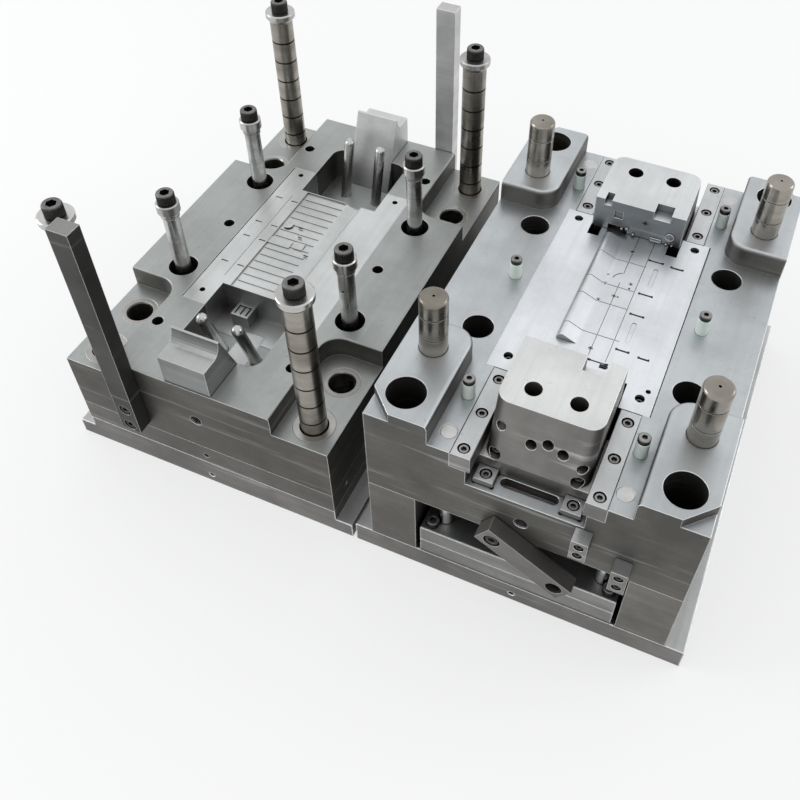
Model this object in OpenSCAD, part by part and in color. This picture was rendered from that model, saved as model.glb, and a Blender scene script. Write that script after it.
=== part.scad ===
// Two-slider injection mould with a runner plate, laid open on a bench.
// The cavity half lies at -X and the core half at +X, both with the parting face up.
// The origin is on the bench, midway between the halves.

/* [Mould base] */
// Width of the mould plates
plate_w = 400; // [392:1:420]
// Length of the mould plates
plate_l = 600; // [596:1:630]
// How far each clamp plate stands out beside the other plates
clamp_flange = 25; // [12:1:40]
// Gap between the two clamp plates on the bench
bench_gap = 6.5; // [3:0.5:60]
// Thickness of the cavity clamp plate
cavity_clamp_t = 46; // [42:1:60]
// Thickness of its side flanges
flange_t = 26; // [20:1:36]
// Thickness of the runner plate
runner_t = 37; // [34:1:50]
// Thickness of the cavity plate
cavity_t = 124; // [122:1:134]
// Thickness of the core clamp plate
core_clamp_t = 36; // [30:1:45]
// Height of the spacer blocks
spacer_h = 117; // [116:1:130]
// Width of the spacer blocks
spacer_w = 64; // [58:1:66]
// Thickness of the core plate
core_t = 124; // [122:1:134]

/* [Corner interlocks] */
// Half distance between the interlock walls across the mould
lock_x = 120; // [117:0.5:122]
// Length of each interlock corner
lock_l = 160; // [154:1:166]
// Height of the raised corners
lock_h = 31; // [24:1:36]
// Radius of the inner corner of each interlock
lock_r = 28; // [20:1:34]
// Radius of the rounded edges
lock_edge = 6; // [3:0.5:7]
// Clearance between a raised corner and its pocket
lock_gap = 0.5; // [0.2:0.1:1]
// Leg of the pry corner cut across each raised corner
pry_leg = 32; // [20:1:34]
// Depth of the pry corner
pry_d = 14; // [8:1:18]

/* [Hole pattern] */
// Place of the guide and support pins, as a share of half the plate width
pin_share = 0.81; // [0.8:0.005:0.82]
// Distance of the guide pins from the plate ends
guide_end = 114; // [110:1:116]
// Distance of the support pins from the plate ends
support_end = 37; // [34:1:40]
// Distance of the puller bolts from the inserts
puller_side = 33; // [31:0.5:40]
// Distance of the puller bolts from the interlock walls
puller_end = 33.5; // [32:0.5:42]
// Distance of the corner friction pullers from the gibs
friction_side = 12; // [10.5:0.5:14]
// Distance of the corner friction pullers from the plate ends
friction_end = 86.5; // [74:0.5:96]
// Distance of the middle friction pullers from the inserts
friction_mid_side = 23; // [14:1:34]
// Distance of the return pins from the gibs
return_side = 12; // [11.5:0.5:13]
// Distance of the return pins from the plate ends
return_end = 27.5; // [24:0.5:34]

/* [Pins and bushes] */
// Diameter of the guide pins
guide_d = 35; // [30:0.5:38]
// Height of the guide pins above the parting face
guide_h = 117; // [96:1:120]
// Diameter of the support pins
support_d = 35; // [28:0.5:37]
// Height of the support pins above the bench
support_h = 400; // [385:1:405]
// Diameter of the stop collars
collar_d = 45; // [40:0.5:46]
// Height of the stop collars
collar_h = 15; // [10:0.5:18]
// Outer diameter of the guide bushes
guide_bush_d = 50; // [44:0.5:54]
// Outer diameter of the support pin bushes
support_bush_d = 56; // [46:0.5:58]
// Length of both kinds of bush
bush_l = 80; // [60:1:84]
// Diameter of the puller sleeves
sleeve_d = 23; // [20:0.5:26]
// Diameter of the puller sleeve collars
sleeve_collar_d = 32; // [28:0.5:38]
// Height of the puller sleeve heads
sleeve_collar_h = 24; // [18:0.5:26]
// How far the cavity plate rises before the pullers stop it
puller_travel = 138; // [120:1:140]
// Distance of the puller shoulder below the parting face
puller_bore_depth = 44; // [38:1:54]
// Diameter of the wide puller bore in the cavity plate
puller_bore_d = 42; // [40:0.5:44]
// Diameter of the puller clearance holes in the core plate
puller_hole_d = 40; // [37:0.5:44]
// Diameter of the support pin clearance holes in the core half
support_hole_d = 48; // [46.5:0.5:52]
// How far the runner plate rises off its clamp plate
runner_travel = 10; // [5:0.5:12]
// Diameter of the return pins
return_d = 20; // [16:0.5:20]
// Diameter of the ejector pins
ejector_d = 6; // [4:0.5:8]

/* [Inserts] */
// Width of both inserts
insert_w = 204; // [196:1:204]
// Length of both inserts
insert_l = 320; // [312:1:324]
// Depth of the cavity insert
cavity_insert_t = 70; // [66:1:76]
// Depth of the core insert
core_insert_t = 62; // [58:1:70]
// Distance of the insert screws from the insert sides
insert_screw_side = 19; // [15:1:22]
// Distance of the insert screws from the insert ends
insert_screw_end = 18.5; // [14:0.5:20]
// Distance between the moulded panel and the insert ends
panel_wall = 47; // [47:1:60]
// Radius of the channel along the panel
channel_r = 9.5; // [6:0.5:10]
// Distance of that channel from the middle line
channel_x = 31; // [28:0.5:34]

/* [Sliders] */
// Width of the slider bodies
slider_w = 125; // [110:1:126]
// Height of the sliders above the parting face
slider_rise = 50; // [40:1:54]
// Depth of the slider channels below the parting face
channel_depth = 50; // [46:1:52]
// How far the slider pockets reach into the inserts
pocket_reach = 46; // [44.5:0.5:48]
// Distance of the slider pockets from the plate ends
pocket_end = 65; // [60:1:70]
// Radius of the outer pocket corners
pocket_r = 20; // [12:1:24]
// Slider stroke
slider_stroke = 27; // [20:0.5:27]
// Lean of the angle pins
pin_angle = 16; // [12:0.5:18]
// Lean of the locking faces
wedge_angle = 20; // [16:0.5:22]
// Diameter of the angle pins
angle_pin_d = 16; // [12:0.5:18]
// Diameter of the angle pin holes in the sliders
angle_hole_d = 21; // [20:0.5:24]
// Half spacing of the angle pins
angle_pin_x = 27; // [24:0.5:32]
// Place of the angle pins, as a share of the slider length behind the inserts
angle_pin_share = 0.39; // [0.36:0.01:0.42]
// Width of the gibs
gib_w = 25.5; // [22:0.5:25.5]
// Thickness of the gibs
gib_t = 25; // [20:1:28]
// Distance of the gibs from the middle line
gib_x = 67; // [65:0.5:67.5]
// How far each slider foot reaches under a gib
foot_w = 4.7; // [3:0.1:6]
// Width of the heel blocks
heel_w = 69; // [60:1:80]
// Height of the heel blocks above the parting face
heel_h = 65; // [60:1:76]
// Height of their outer step
heel_step = 46; // [36:1:52]

/* [Latches and strap] */
// Width of the latch bars
latch_w = 30; // [24:1:30]
// Thickness of the latch bars
latch_t = 22; // [16:1:26]
// Place of the latch bars, from the middle line
latch_x = 99; // [97:0.5:101]
// Height of the latch bar tops above the bench
latch_top = 455; // [400:1:470]
// Width of the keeper blocks
keeper_w = 20; // [16:1:24]
// Thickness of the keeper blocks
keeper_t = 20; // [16:1:26]
// Length of the safety strap
strap_l = 130; // [110:1:134]
// Width of the safety strap
strap_w = 31; // [26:1:34]
// Thickness of the safety strap
strap_t = 21.5; // [16:0.5:26]
// Angle at which the strap hangs
strap_angle = 33; // [30:1:40]

/* [Ejector] */
// Gap between the ejector plates and the spacer blocks
ejector_side = 6; // [4:1:10]
// How far the ejector plates stop short of the plate ends
ejector_end = 1; // [0.5:0.5:5]
// Thickness of the ejector base plate
ejector_base_t = 27; // [24:1:28]
// Thickness of the ejector retainer plate
retainer_t = 27; // [22:1:28]
// Ejector stroke
ejector_stroke = 50; // [40:1:50]

/* [Hidden] */
$fn = 48;

// Fits
slide_gap = 0.3;
run_fit = 0.05;
seat_fit = 0.05;
loose_fit = 0.5;
over = 1;

// Levels
half_x = (plate_w + 2 * clamp_flange + bench_gap) / 2;
runner_z = cavity_clamp_t + slide_gap;
runner_top = cavity_clamp_t + runner_t;
cavity_z = runner_top + slide_gap;
cavity_top = runner_top + cavity_t;
pocket_floor = cavity_top - lock_h - lock_gap;
core_z = core_clamp_t + spacer_h;
core_top = core_z + core_t;
raised_top = core_top + lock_h;

// Pins
pin_head_h = 8;
pin_head_lip = 3.5;
groove_w = 1.6;
groove_d = 0.9;
groove_pitch = 34;
first_groove = 33;
groove_count = 6;
collar_band = 8.5;
guide_top = core_top + guide_h;
guide_x = pin_share * plate_w / 2;
guide_y = plate_l / 2 - guide_end;
support_x = guide_x;
support_y = plate_l / 2 - support_end;
lock_y = plate_l / 2 - lock_l;
shoulder_z = cavity_top - puller_bore_depth - slide_gap;
sleeve_top = shoulder_z + puller_travel + slide_gap;
sleeve_neck_d = sleeve_d + 3;
sleeve_neck_l = 7;
puller_x = insert_w / 2 + puller_side;
puller_y = lock_y - puller_end;
friction_x = gib_x + gib_w + friction_side;
friction_y = plate_l / 2 - friction_end;
friction_mid = insert_w / 2 + friction_mid_side;
return_x = gib_x + gib_w + return_side;
return_y = plate_l / 2 - return_end;
insert_screw_x = insert_w / 2 - insert_screw_side;
insert_screw_y = insert_l / 2 - insert_screw_end;
insert_screw_shift = 4.5;

// Cap screws: thread, head diameter, head height
m16 = [16, 24, 16];
m12 = [12, 18, 12];
m10 = [10, 16, 10];
m8 = [8, 13, 8];
m6 = [6, 10, 6];
// How far the two halves' bolts reach below the other half's parting face when closed
support_reach = support_h + collar_h + m16[2] - cavity_top;
puller_reach = sleeve_top + sleeve_collar_h + m16[2] - cavity_top;
end_gap = 3;
head_gap = 1;
thread_l = 30;
small_thread_l = 18;
friction_thread_l = 20;
limit_x = 60;
limit_y = plate_l / 2 - 70;
limit_head_h = 10;
limit_thread_l = 20;
limit_ledge = cavity_clamp_t - 20;

// Sprue and locating ring seat
ring_seat_d = 100;
ring_seat_depth = 10;
sprue_bush_d = 40;
sprue_in = 4;
sprue_out = 7;
ejector_hole_d = 50;

// Slider channel
pocket_in = insert_l / 2 - pocket_reach;
pocket_out = plate_l / 2 - pocket_end;
floor_z = core_top - channel_depth;
slider_top = core_top + slider_rise;
slider_floor = cavity_top - slider_rise - slide_gap;
pocket_half = slider_w / 2 + 1;
gib_z = core_top - gib_t;
gib_start = insert_l / 2 + 1.2;
gib_l = plate_l / 2 - gib_start;
gib_screw_from = 16;
gib_screw_pitch = (gib_l - gib_screw_from - 12.8) / 2;
foot_half = gib_x + foot_w;
nose_in = pocket_in + 7.3;
notch_in = nose_in - slide_gap;
foot_in = insert_l / 2 + 4;
slider_back = pocket_out - slider_rise * tan(wedge_angle) - slide_gap;
toe_out = slider_back + (slider_top - gib_z) * tan(wedge_angle);
stop_in = toe_out + slider_stroke + slide_gap;
stop_l = 22;
stop_w = 24;
stop_x = 53;
stop_sink = 12;
stop_h = 21;
toe_screw_x = 49.5;
toe_screw_y = toe_out - m8[2] - 9;
toe_screw_z = gib_z + 6.5;
toe_thread_l = 14;
tongue_half = 47.5;
slider_corner_r = 17;
angle_pin_y = insert_l / 2 + 5 + angle_pin_share * (slider_back - insert_l / 2);

// Heel block
heel_out = plate_l / 2 - 1.5;
heel_seat_out = heel_out - 13.5;
heel_ridge = 3;
heel_cove = 12;

// Angle pins
angle_pin_root = 45;
angle_pin_out = 97;

// Latches
latch_bottom = cavity_z + 12;
latch_screw_from = 11;
latch_screw_pitch = 32;
keeper_gap = 0.5;
keeper_thread_l = 8;
keeper_screw_share = 0.26;
keeper_near = latch_x - latch_w / 2 - keeper_gap - keeper_w / 2;
keeper_far = latch_x + latch_w / 2 + keeper_gap + keeper_w / 2;
keeper_near_up = 37;
keeper_near_z = core_z + keeper_near_up;
keeper_near_h = 35;
keeper_far_z = core_z;
keeper_far_h = 40;

// Safety strap
strap_px = -27;
strap_pz = core_z + 11;
strap_end = 16;
strap_shoulder = 14;

// Ejector assembly
ejector_w = plate_w - 2 * (spacer_w + ejector_side);
ejector_l = plate_l - 2 * ejector_end;
ejector_z = core_clamp_t + slide_gap;
retainer_z = ejector_z + ejector_base_t;
retainer_top = retainer_z + retainer_t;
ejector_screw_x = ejector_w / 2 - 13;
ejector_screw_y = ejector_l / 2 - 12;
ejector_tip_gap = 0.8;
ejector_head_h = 6;
rod_thread_l = 20;
base_screw_x = plate_w / 2 - 22;
base_screw_y = 0.22 * plate_l;
ejector_thread_l = 18;
ejector_points = [[5.5, 108], [-10.5, 34.5], [20.5, 46], [6, 16], [-10.5, 2], [5.5, -84]];

// Core block in the front pocket
block_x = -28;
block_w = 27;
block_l = 24;
block_h = 20;
block_wall = 3.5;
block_slot = 2.5;
block_slot_d = 4;

// Panel detail, with its places along the panel read at panel_ref
panel_l = insert_l - 2 * panel_wall;
panel_ref = 226;
panel_in = 52;
panel_out = 19;
panel_d = 2.5;
fin_count = 14;
fin_w = 1.4;
fin_h = 1.2;
seam_w = 0.9;
seam_d = 0.8;
relief_w = 1.4;
relief_d = 3;
part_wall = 1;
ridge_foot = 18;
ridge_from = -84;
ridge_past = 12;
insert_screw_sink = 12;
gib_edge = 0.8;
mark_line_x = -70;

// Nylon friction pullers
friction_d = 16;
friction_hole_d = 16.2;
friction_h = 24;
friction_screw = [8, 15, 7];
friction_depth = friction_h + friction_screw[2] + 4;

lift_d = 17.5;
lift_depth = 32;
puller_thread_z = runner_z + 4;

// Places children at the four mirrored corners of a rectangle
module corners(x, y) {
    for (sx = [-1, 1], sy = [-1, 1])
        translate([sx * x, sy * y, 0]) children();
}

// Place along the panel
function py(y) = y * panel_l / panel_ref;

module cavity_half() translate([-half_x, 0, 0]) children();
module core_half() translate([half_x, 0, 0]) children();
module at_front() mirror([0, 1, 0]) children();

// Block centred on x and y, from z0 to z1
module slab(w, l, z0, z1) {
    translate([-w / 2, -l / 2, z0]) cube([w, l, z1 - z0]);
}

// Block between two corners
module span(a, b) {
    translate(a) cube([b[0] - a[0], b[1] - a[1], b[2] - a[2]]);
}

module rod(d, z0, z1) {
    translate([0, 0, z0]) cylinder(d = d, h = z1 - z0);
}

// Socket cap screw: thread length l below z = 0, head above it
module cap_screw(size, l) {
    difference() {
        union() {
            translate([0, 0, -l]) cylinder(d = size[0], h = l);
            rotate_extrude() polygon([[0, 0], [size[1] / 2, 0],
                [size[1] / 2, size[2] - 1], [size[1] / 2 - 1, size[2]], [0, size[2]]]);
        }
        translate([0, 0, size[2] * 0.45])
            cylinder(d = size[0] * 0.9, h = size[2], $fn = 6);
    }
}

// Room for such a screw: its thread hole and a counterbore of depth sink
module screw_room(size, l, sink) {
    translate([0, 0, -l]) cylinder(d = size[0] + 2 * seat_fit, h = l + over);
    cylinder(d = size[1] + 2 * head_gap, h = sink + over);
}

// Rounded shoulder of an edge, as profile points from the wall to the top
function edge_points(w, h, r) = [for (a = [0:15:90]) [w - r + r * cos(a), h - r + r * sin(a)]];
// The same edge turned outward, for the mouth of a pocket
function mouth_points(w, h, r) = [for (a = [0:15:90]) [w + r - r * cos(a), h - r + r * sin(a)]];

// A corner block from the walls at lx, ly outwards, swept from one profile
module corner_block(lx, ly, out_x, out_y, h, points) {
    span([lx + lock_r, ly + lock_r, 0], [out_x, out_y, h]);
    translate([lx + lock_r, out_y, 0]) rotate([90, 0, 0]) linear_extrude(out_y - ly - lock_r)
        mirror([1, 0]) polygon(concat([[0, 0], [lock_r, 0]], points, [[0, h]]));
    translate([lx + lock_r, ly + lock_r, 0]) rotate([90, 0, 90]) linear_extrude(out_x - lx - lock_r)
        mirror([1, 0]) polygon(concat([[0, 0], [lock_r, 0]], points, [[0, h]]));
    translate([lx + lock_r, ly + lock_r, 0]) rotate([0, 0, 180]) rotate_extrude(angle = 90)
        polygon(concat([[0, 0], [lock_r, 0]], points, [[0, h]]));
}

module each_quarter() {
    for (mx = [0, 1], my = [0, 1])
        mirror([mx, 0, 0]) mirror([0, my, 0]) children();
}

module raised_corner() {
    difference() {
        translate([0, 0, core_top]) corner_block(lock_x + lock_gap, lock_y + lock_gap,
            plate_w / 2, plate_l / 2, lock_h, edge_points(lock_r, lock_h, lock_edge));
        translate([plate_w / 2, plate_l / 2, raised_top - pry_d]) linear_extrude(pry_d + over)
            polygon([[over, over], [-pry_leg - over, over], [over, -pry_leg - over]]);
    }
}

module corner_pocket() {
    translate([0, 0, pocket_floor]) corner_block(lock_x, lock_y, plate_w / 2 + over,
        plate_l / 2 + over, cavity_top - pocket_floor,
        mouth_points(lock_r, cavity_top - pocket_floor, lock_edge / 2));
}

// Ground pin with oil grooves, a head at its foot and an optional tapped end
function groove_points(r, zs) = [for (z = zs) each [[r, z - groove_w / 2],
    [r - groove_d, z - groove_w / 2], [r - groove_d, z + groove_w / 2], [r, z + groove_w / 2]]];

module ground_pin(d, h, zs, round_end, tap_d, tap_l) {
    r = d / 2;
    rotate_extrude() polygon(concat(
        [[0, 0], [r + pin_head_lip, 0], [r + pin_head_lip, pin_head_h], [r, pin_head_h]],
        groove_points(r, zs),
        [for (a = [0:15:90]) [r - round_end + round_end * cos(a), h - round_end + round_end * sin(a)]],
        [[tap_d / 2, h], [tap_d / 2, h - tap_l], [0, h - tap_l]]));
}

module cavity_clamp_plate() {
    color("slategray") cavity_half() difference() {
        union() {
            slab(plate_w + 2 * clamp_flange, plate_l, 0, flange_t);
            slab(plate_w, plate_l, 0, cavity_clamp_t);
        }
        corners(support_x, support_y) {
            rod(support_d + 2 * seat_fit, -over, cavity_clamp_t + over);
            rod(support_d + 2 * (pin_head_lip + seat_fit), -over, pin_head_h);
        }
        corners(limit_x, limit_y) {
            rod(m16[0] + 2 * run_fit, -over, cavity_clamp_t + over);
            rod(m16[1] + 2 * head_gap, -over, limit_ledge);
        }
        rod(ring_seat_d, -over, ring_seat_depth);
        rod(sprue_bush_d + 2 * seat_fit, 0, cavity_clamp_t + over);
        side_hole(8.5, 20, flange_t / 2 + 2);
    }
}

// Plain tapped hole in the front face at height z
module side_hole(d, l, z) {
    translate([0, -plate_l / 2 + l, z]) rotate([90, 0, 0]) cylinder(d = d, h = l + over);
}

module sprue_bush() {
    color("dimgray") cavity_half() rotate_extrude() polygon([
        [sprue_in / 2, ring_seat_depth + 5], [11, ring_seat_depth],
        [sprue_bush_d / 2, ring_seat_depth], [sprue_bush_d / 2, cavity_clamp_t],
        [sprue_out / 2, cavity_clamp_t]]);
}

module support_pins() {
    grooves = [for (k = [groove_count - 1:-1:0]) support_h - first_groove - k * groove_pitch];
    color("gray") cavity_half() corners(support_x, support_y)
        ground_pin(support_d, support_h, grooves, 1, m16[0] + 2 * seat_fit, thread_l + 2);
}

// Each collar tapers from its band down to the pin
module stop_collars() {
    color("darkgray") cavity_half() corners(support_x, support_y) translate([0, 0, support_h])
        rotate_extrude() polygon([[m16[0] / 2 + loose_fit, 0], [support_d / 2, 0],
            [collar_d / 2, collar_h - collar_band], [collar_d / 2, collar_h - 1.5],
            [collar_d / 2 - 1.5, collar_h], [m16[0] / 2 + loose_fit, collar_h]]);
}

module stop_screws() {
    color("#202020") cavity_half() corners(support_x, support_y)
        translate([0, 0, support_h + collar_h]) cap_screw(m16, thread_l + collar_h);
}

module runner_plate() {
    color("slategray") cavity_half() difference() {
        slab(plate_w, plate_l, runner_z, runner_top);
        corners(support_x, support_y) rod(support_d + 2 * run_fit, runner_z - over, runner_top + over);
        corners(puller_x, puller_y) rod(m16[0] + 2 * seat_fit, puller_thread_z, runner_top + over);
        corners(limit_x, limit_y) rod(m12[0] + 2 * seat_fit, runner_z - over,
            runner_z + limit_thread_l + 2);
        rod(sprue_out + 2, runner_z - over, runner_top + over);
        side_hole(8.5, 20, runner_z + runner_t / 2 - 3);
        translate([plate_w / 2 - 16, -plate_l * 0.44, runner_z + runner_t / 2]) rotate([0, 90, 0])
            cylinder(d = 7, h = 16 + over, $fn = 24);
    }
}

// Long sleeve with a necked head that stops the cavity plate
module puller_sleeves() {
    bore = m16[0] / 2 + loose_fit;
    head = sleeve_collar_d / 2;
    neck = sleeve_neck_d / 2;
    top = sleeve_top + sleeve_collar_h;
    color("gray") cavity_half() difference() {
        corners(puller_x, puller_y) rotate_extrude() polygon([
            [bore, runner_top], [sleeve_d / 2, runner_top], [sleeve_d / 2, sleeve_top],
            [neck, sleeve_top], [neck, sleeve_top + 2], [neck - 0.6, sleeve_top + 2],
            [neck - 0.6, sleeve_top + 2.8], [neck, sleeve_top + 2.8],
            [neck, sleeve_top + sleeve_neck_l], [head, sleeve_top + sleeve_neck_l + 2.5],
            [head, top - 1.5], [head - 1.5, top], [bore, top]]);
        translate([puller_x, -puller_y, sleeve_top - 28.5]) rotate([90, 0, 0])
            cylinder(d = 4, h = sleeve_d, $fn = 24);
    }
}

module puller_screws() {
    seat = sleeve_top + sleeve_collar_h;
    color("#202020") cavity_half() corners(puller_x, puller_y) translate([0, 0, seat])
        cap_screw(m16, seat - puller_thread_z - 2);
}

module runner_limit_bolts() {
    head_top = limit_ledge - runner_travel - slide_gap;
    color("#202020") cavity_half() corners(limit_x, limit_y) difference() {
        rotate_extrude() polygon([[0, head_top - limit_head_h], [m16[1] / 2, head_top - limit_head_h],
            [m16[1] / 2, head_top], [m16[0] / 2, head_top], [m16[0] / 2, runner_z],
            [m12[0] / 2, runner_z], [m12[0] / 2, runner_z + limit_thread_l],
            [0, runner_z + limit_thread_l]]);
        translate([0, 0, head_top - limit_head_h - over]) cylinder(d = 11.5, h = 6 + over, $fn = 6);
    }
}

// Plan of a slider pocket at the rear: square inside, round corners outside
module pocket_plan() {
    translate([-pocket_half, pocket_in]) square([2 * pocket_half, pocket_out - pocket_r - pocket_in]);
    translate([pocket_r - pocket_half, pocket_in])
        square([2 * (pocket_half - pocket_r), pocket_out - pocket_in]);
    for (s = [-1, 1])
        translate([s * (pocket_half - pocket_r), pocket_out - pocket_r]) circle(r = pocket_r);
}

module slider_pocket() {
    translate([0, 0, slider_floor]) linear_extrude(slider_rise + slide_gap + over) pocket_plan();
}

// Axis of one angle pin at the pocket floor
module on_angle_pin(s) {
    translate([s * angle_pin_x, angle_pin_y, slider_floor]) rotate([-pin_angle, 0, 0]) children();
}

module angle_pins() {
    for (s = [-1, 1]) on_angle_pin(s) {
        translate([0, 0, -angle_pin_root])
            cylinder(d = angle_pin_d, h = angle_pin_root + angle_pin_out - angle_pin_d / 2);
        intersection() {
            translate([0, 0, angle_pin_out - angle_pin_d / 2]) sphere(d = angle_pin_d);
            translate([0, 0, angle_pin_out - angle_pin_d / 2])
                cylinder(d = angle_pin_d + 2, h = angle_pin_d);
        }
    }
}

module slider_room() {
    slider_pocket();
    span([-heel_w / 2 - seat_fit, pocket_out - 40, slider_floor],
        [heel_w / 2 + seat_fit, heel_seat_out + seat_fit, cavity_top + over]);
    for (s = [-1, 1]) on_angle_pin(s) translate([0, 0, -angle_pin_root])
        cylinder(d = angle_pin_d + 2 * seat_fit, h = angle_pin_root + 14);
}

module latch_screw_places() {
    for (k = [0, 1]) translate([latch_x, plate_l / 2 + latch_t, latch_bottom + latch_screw_from
        + k * latch_screw_pitch]) rotate([-90, 0, 0]) translate([0, 0, -m10[2] - head_gap]) children();
}

module latch_bar() {
    difference() {
        span([latch_x - latch_w / 2, plate_l / 2, latch_bottom],
            [latch_x + latch_w / 2, plate_l / 2 + latch_t, latch_top]);
        latch_screw_places() screw_room(m10, latch_t, m10[2] + head_gap);
    }
}

module both_latches() {
    children();
    rotate([0, 0, 180]) children();
}

module cavity_plate() {
    color("lightslategray") cavity_half() difference() {
        slab(plate_w, plate_l, cavity_z, cavity_top);
        each_quarter() corner_pocket();
        corners(guide_x, guide_y) {
            rod(guide_bush_d + 2 * seat_fit, pocket_floor - bush_l, pocket_floor + over);
            rod(guide_d + 4, cavity_z - over, pocket_floor);
        }
        corners(support_x, support_y) {
            rod(support_bush_d + 2 * seat_fit, pocket_floor - bush_l, pocket_floor + over);
            rod(support_d + 4, cavity_z - over, pocket_floor);
        }
        corners(puller_x, puller_y) {
            rod(sleeve_d + 2 * loose_fit, cavity_z - over, cavity_top);
            rod(puller_bore_d, shoulder_z, cavity_top + over);
        }
        friction_places() rod(friction_hole_d, cavity_top - friction_depth, cavity_top + over);
        slab(insert_w + 2 * seat_fit, insert_l + 2 * seat_fit, cavity_top - cavity_insert_t,
            cavity_top + over);
        slider_room();
        at_front() slider_room();
        both_latches() latch_screw_places() screw_room(m10, latch_t + 18, 0);
        side_hole(lift_d, lift_depth, (cavity_z + cavity_top) / 2 - 3);
    }
}

// Parallel ribs left standing in the floor of the panel recess
module panel_fins() {
    pitch = panel_l / (fin_count + 1);
    for (k = [1:fin_count])
        span([-panel_in + 3, -panel_l / 2 + k * pitch - fin_w / 2, cavity_top - panel_d - over],
            [panel_out - 4, -panel_l / 2 + k * pitch + fin_w / 2, cavity_top - panel_d + fin_h]);
}

// Section of the ridge that the channel moulds: round outside, sloping inside
module ridge_plan(r, foot) {
    polygon(concat([for (a = [0:15:90]) [r * cos(a), r * sin(a)]], [[-foot, 0]]));
}

module channel() {
    translate([channel_x, pocket_in + over, cavity_top]) rotate([90, 0, 0]) mirror([0, 1, 0])
        linear_extrude(pocket_in + over - py(ridge_from) + part_wall)
            union() {
                ridge_plan(channel_r, ridge_foot + part_wall);
                translate([-ridge_foot - part_wall, -over]) square([ridge_foot + part_wall + channel_r, over]);
            }
}

module cavity_insert() {
    color("silver") cavity_half() {
        difference() {
            slab(insert_w, insert_l, cavity_top - cavity_insert_t, cavity_top);
            slider_pocket();
            at_front() slider_pocket();
            difference() {
                span([-panel_in, -panel_l / 2, cavity_top - panel_d],
                    [panel_out, panel_l / 2, cavity_top + over]);
                panel_fins();
                span([-panel_in - over, py(-12), cavity_top - panel_d], [-16, py(2), cavity_top - 1]);
                span([-10, py(-9), cavity_top - panel_d], [4, py(5), cavity_top - 0.6]);
            }
            channel();
            insert_screw_places() rod(m6[1] - 1.5, cavity_top - 30, cavity_top + over);
            span([-insert_w / 2 - over, -insert_l / 2 - over, cavity_top - relief_d],
                [-insert_w / 2 + relief_w, insert_l / 2 + over, cavity_top + over]);
            span([mark_line_x - seam_w / 2, py(-100), cavity_top - seam_d],
                [mark_line_x + seam_w / 2, py(95), cavity_top + over]);
            for (y = [84, 22, -13, -73], x = [mark_line_x - 22, mark_line_x + 5])
                span([x, py(y) - 1.2, cavity_top - 1.5], [x + 11, py(y) + 1.2, cavity_top + over]);
        }
    }
}

// Small core block in the front pocket, with an m shaped groove in its top
module cavity_core_block() {
    top = slider_floor + block_h;
    pitch = (block_w - 2 * block_wall - block_slot) / 2;
    color("gainsboro") cavity_half() at_front() translate([block_x - block_w / 2, pocket_in, 0])
        difference() {
            span([0, 0, slider_floor], [block_w, block_l, top]);
            for (k = [0:2])
                span([block_wall + k * pitch, block_wall, top - block_slot_d],
                    [block_wall + k * pitch + block_slot, block_l - block_wall, top + over]);
            span([block_wall, block_wall, top - block_slot_d],
                [block_w - block_wall, block_wall + block_slot, top + over]);
        }
}

module bush(outer, bore, mouth) {
    z0 = pocket_floor - bush_l;
    rotate_extrude() polygon([[bore / 2, z0], [outer / 2, z0], [outer / 2, pocket_floor],
        [mouth / 2, pocket_floor], [bore / 2, pocket_floor - 2.5]]);
}

module guide_bushes() {
    color("darkgray") cavity_half() corners(guide_x, guide_y)
        bush(guide_bush_d, guide_d + 2 * run_fit, guide_d + 3);
}

module support_pin_bushes() {
    color("darkgray") cavity_half() corners(support_x, support_y)
        bush(support_bush_d, support_d + 2 * run_fit, support_d + 3.5);
}

// Section of a heel block: locking face inside, step outside, cove between them
function wedge_y(z) = pocket_out + (z - cavity_top) * tan(wedge_angle);

module heel_block() {
    ridge_z = cavity_top + heel_h;
    step_z = cavity_top + heel_step;
    cove_y = wedge_y(ridge_z) + heel_ridge + heel_cove;
    cove = ridge_z - step_z;
    translate([-heel_w / 2, 0, 0]) rotate([90, 0, 90]) linear_extrude(heel_w) polygon(concat(
        [[wedge_y(slider_floor), slider_floor], [heel_seat_out, slider_floor],
            [heel_seat_out, cavity_top], [heel_out, cavity_top], [heel_out, step_z]],
        [for (a = [0:15:90]) [cove_y - heel_cove * sin(a), ridge_z - cove * cos(a)]],
        [[wedge_y(ridge_z), ridge_z]]));
}

module heel_block_front() color("silver") cavity_half() at_front() heel_block();
module heel_block_rear() color("silver") cavity_half() heel_block();
module angle_pins_front() color("gray") cavity_half() at_front() angle_pins();
module angle_pins_rear() color("gray") cavity_half() angle_pins();
module latch_bar_front() color("dimgray") cavity_half() rotate([0, 0, 180]) latch_bar();
module latch_bar_rear() color("dimgray") cavity_half() latch_bar();

module latch_bar_screws() {
    color("#202020") cavity_half() both_latches() latch_screw_places() cap_screw(m10, latch_t + 2);
}

module core_clamp_plate() {
    color("slategray") core_half() difference() {
        slab(plate_w + 2 * clamp_flange, plate_l, 0, core_clamp_t);
        rod(ejector_hole_d, -over, core_clamp_t + over);
        base_screw_places() {
            rod(m16[0] + 2 * seat_fit, -over, core_clamp_t + over);
            rod(m16[1] + 2 * head_gap, -over, m16[2] + 2);
        }
        side_hole(8.5, 20, core_clamp_t / 2 - 3);
    }
}

module base_screw_places() {
    for (s = [-1, 1], k = [-1:1]) translate([s * base_screw_x, k * base_screw_y, 0]) children();
}

module base_screws() {
    color("#202020") core_half() base_screw_places() translate([0, 0, m16[2] + 2]) mirror([0, 0, 1])
        cap_screw(m16, core_z - m16[2] - 2 + thread_l);
}

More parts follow.
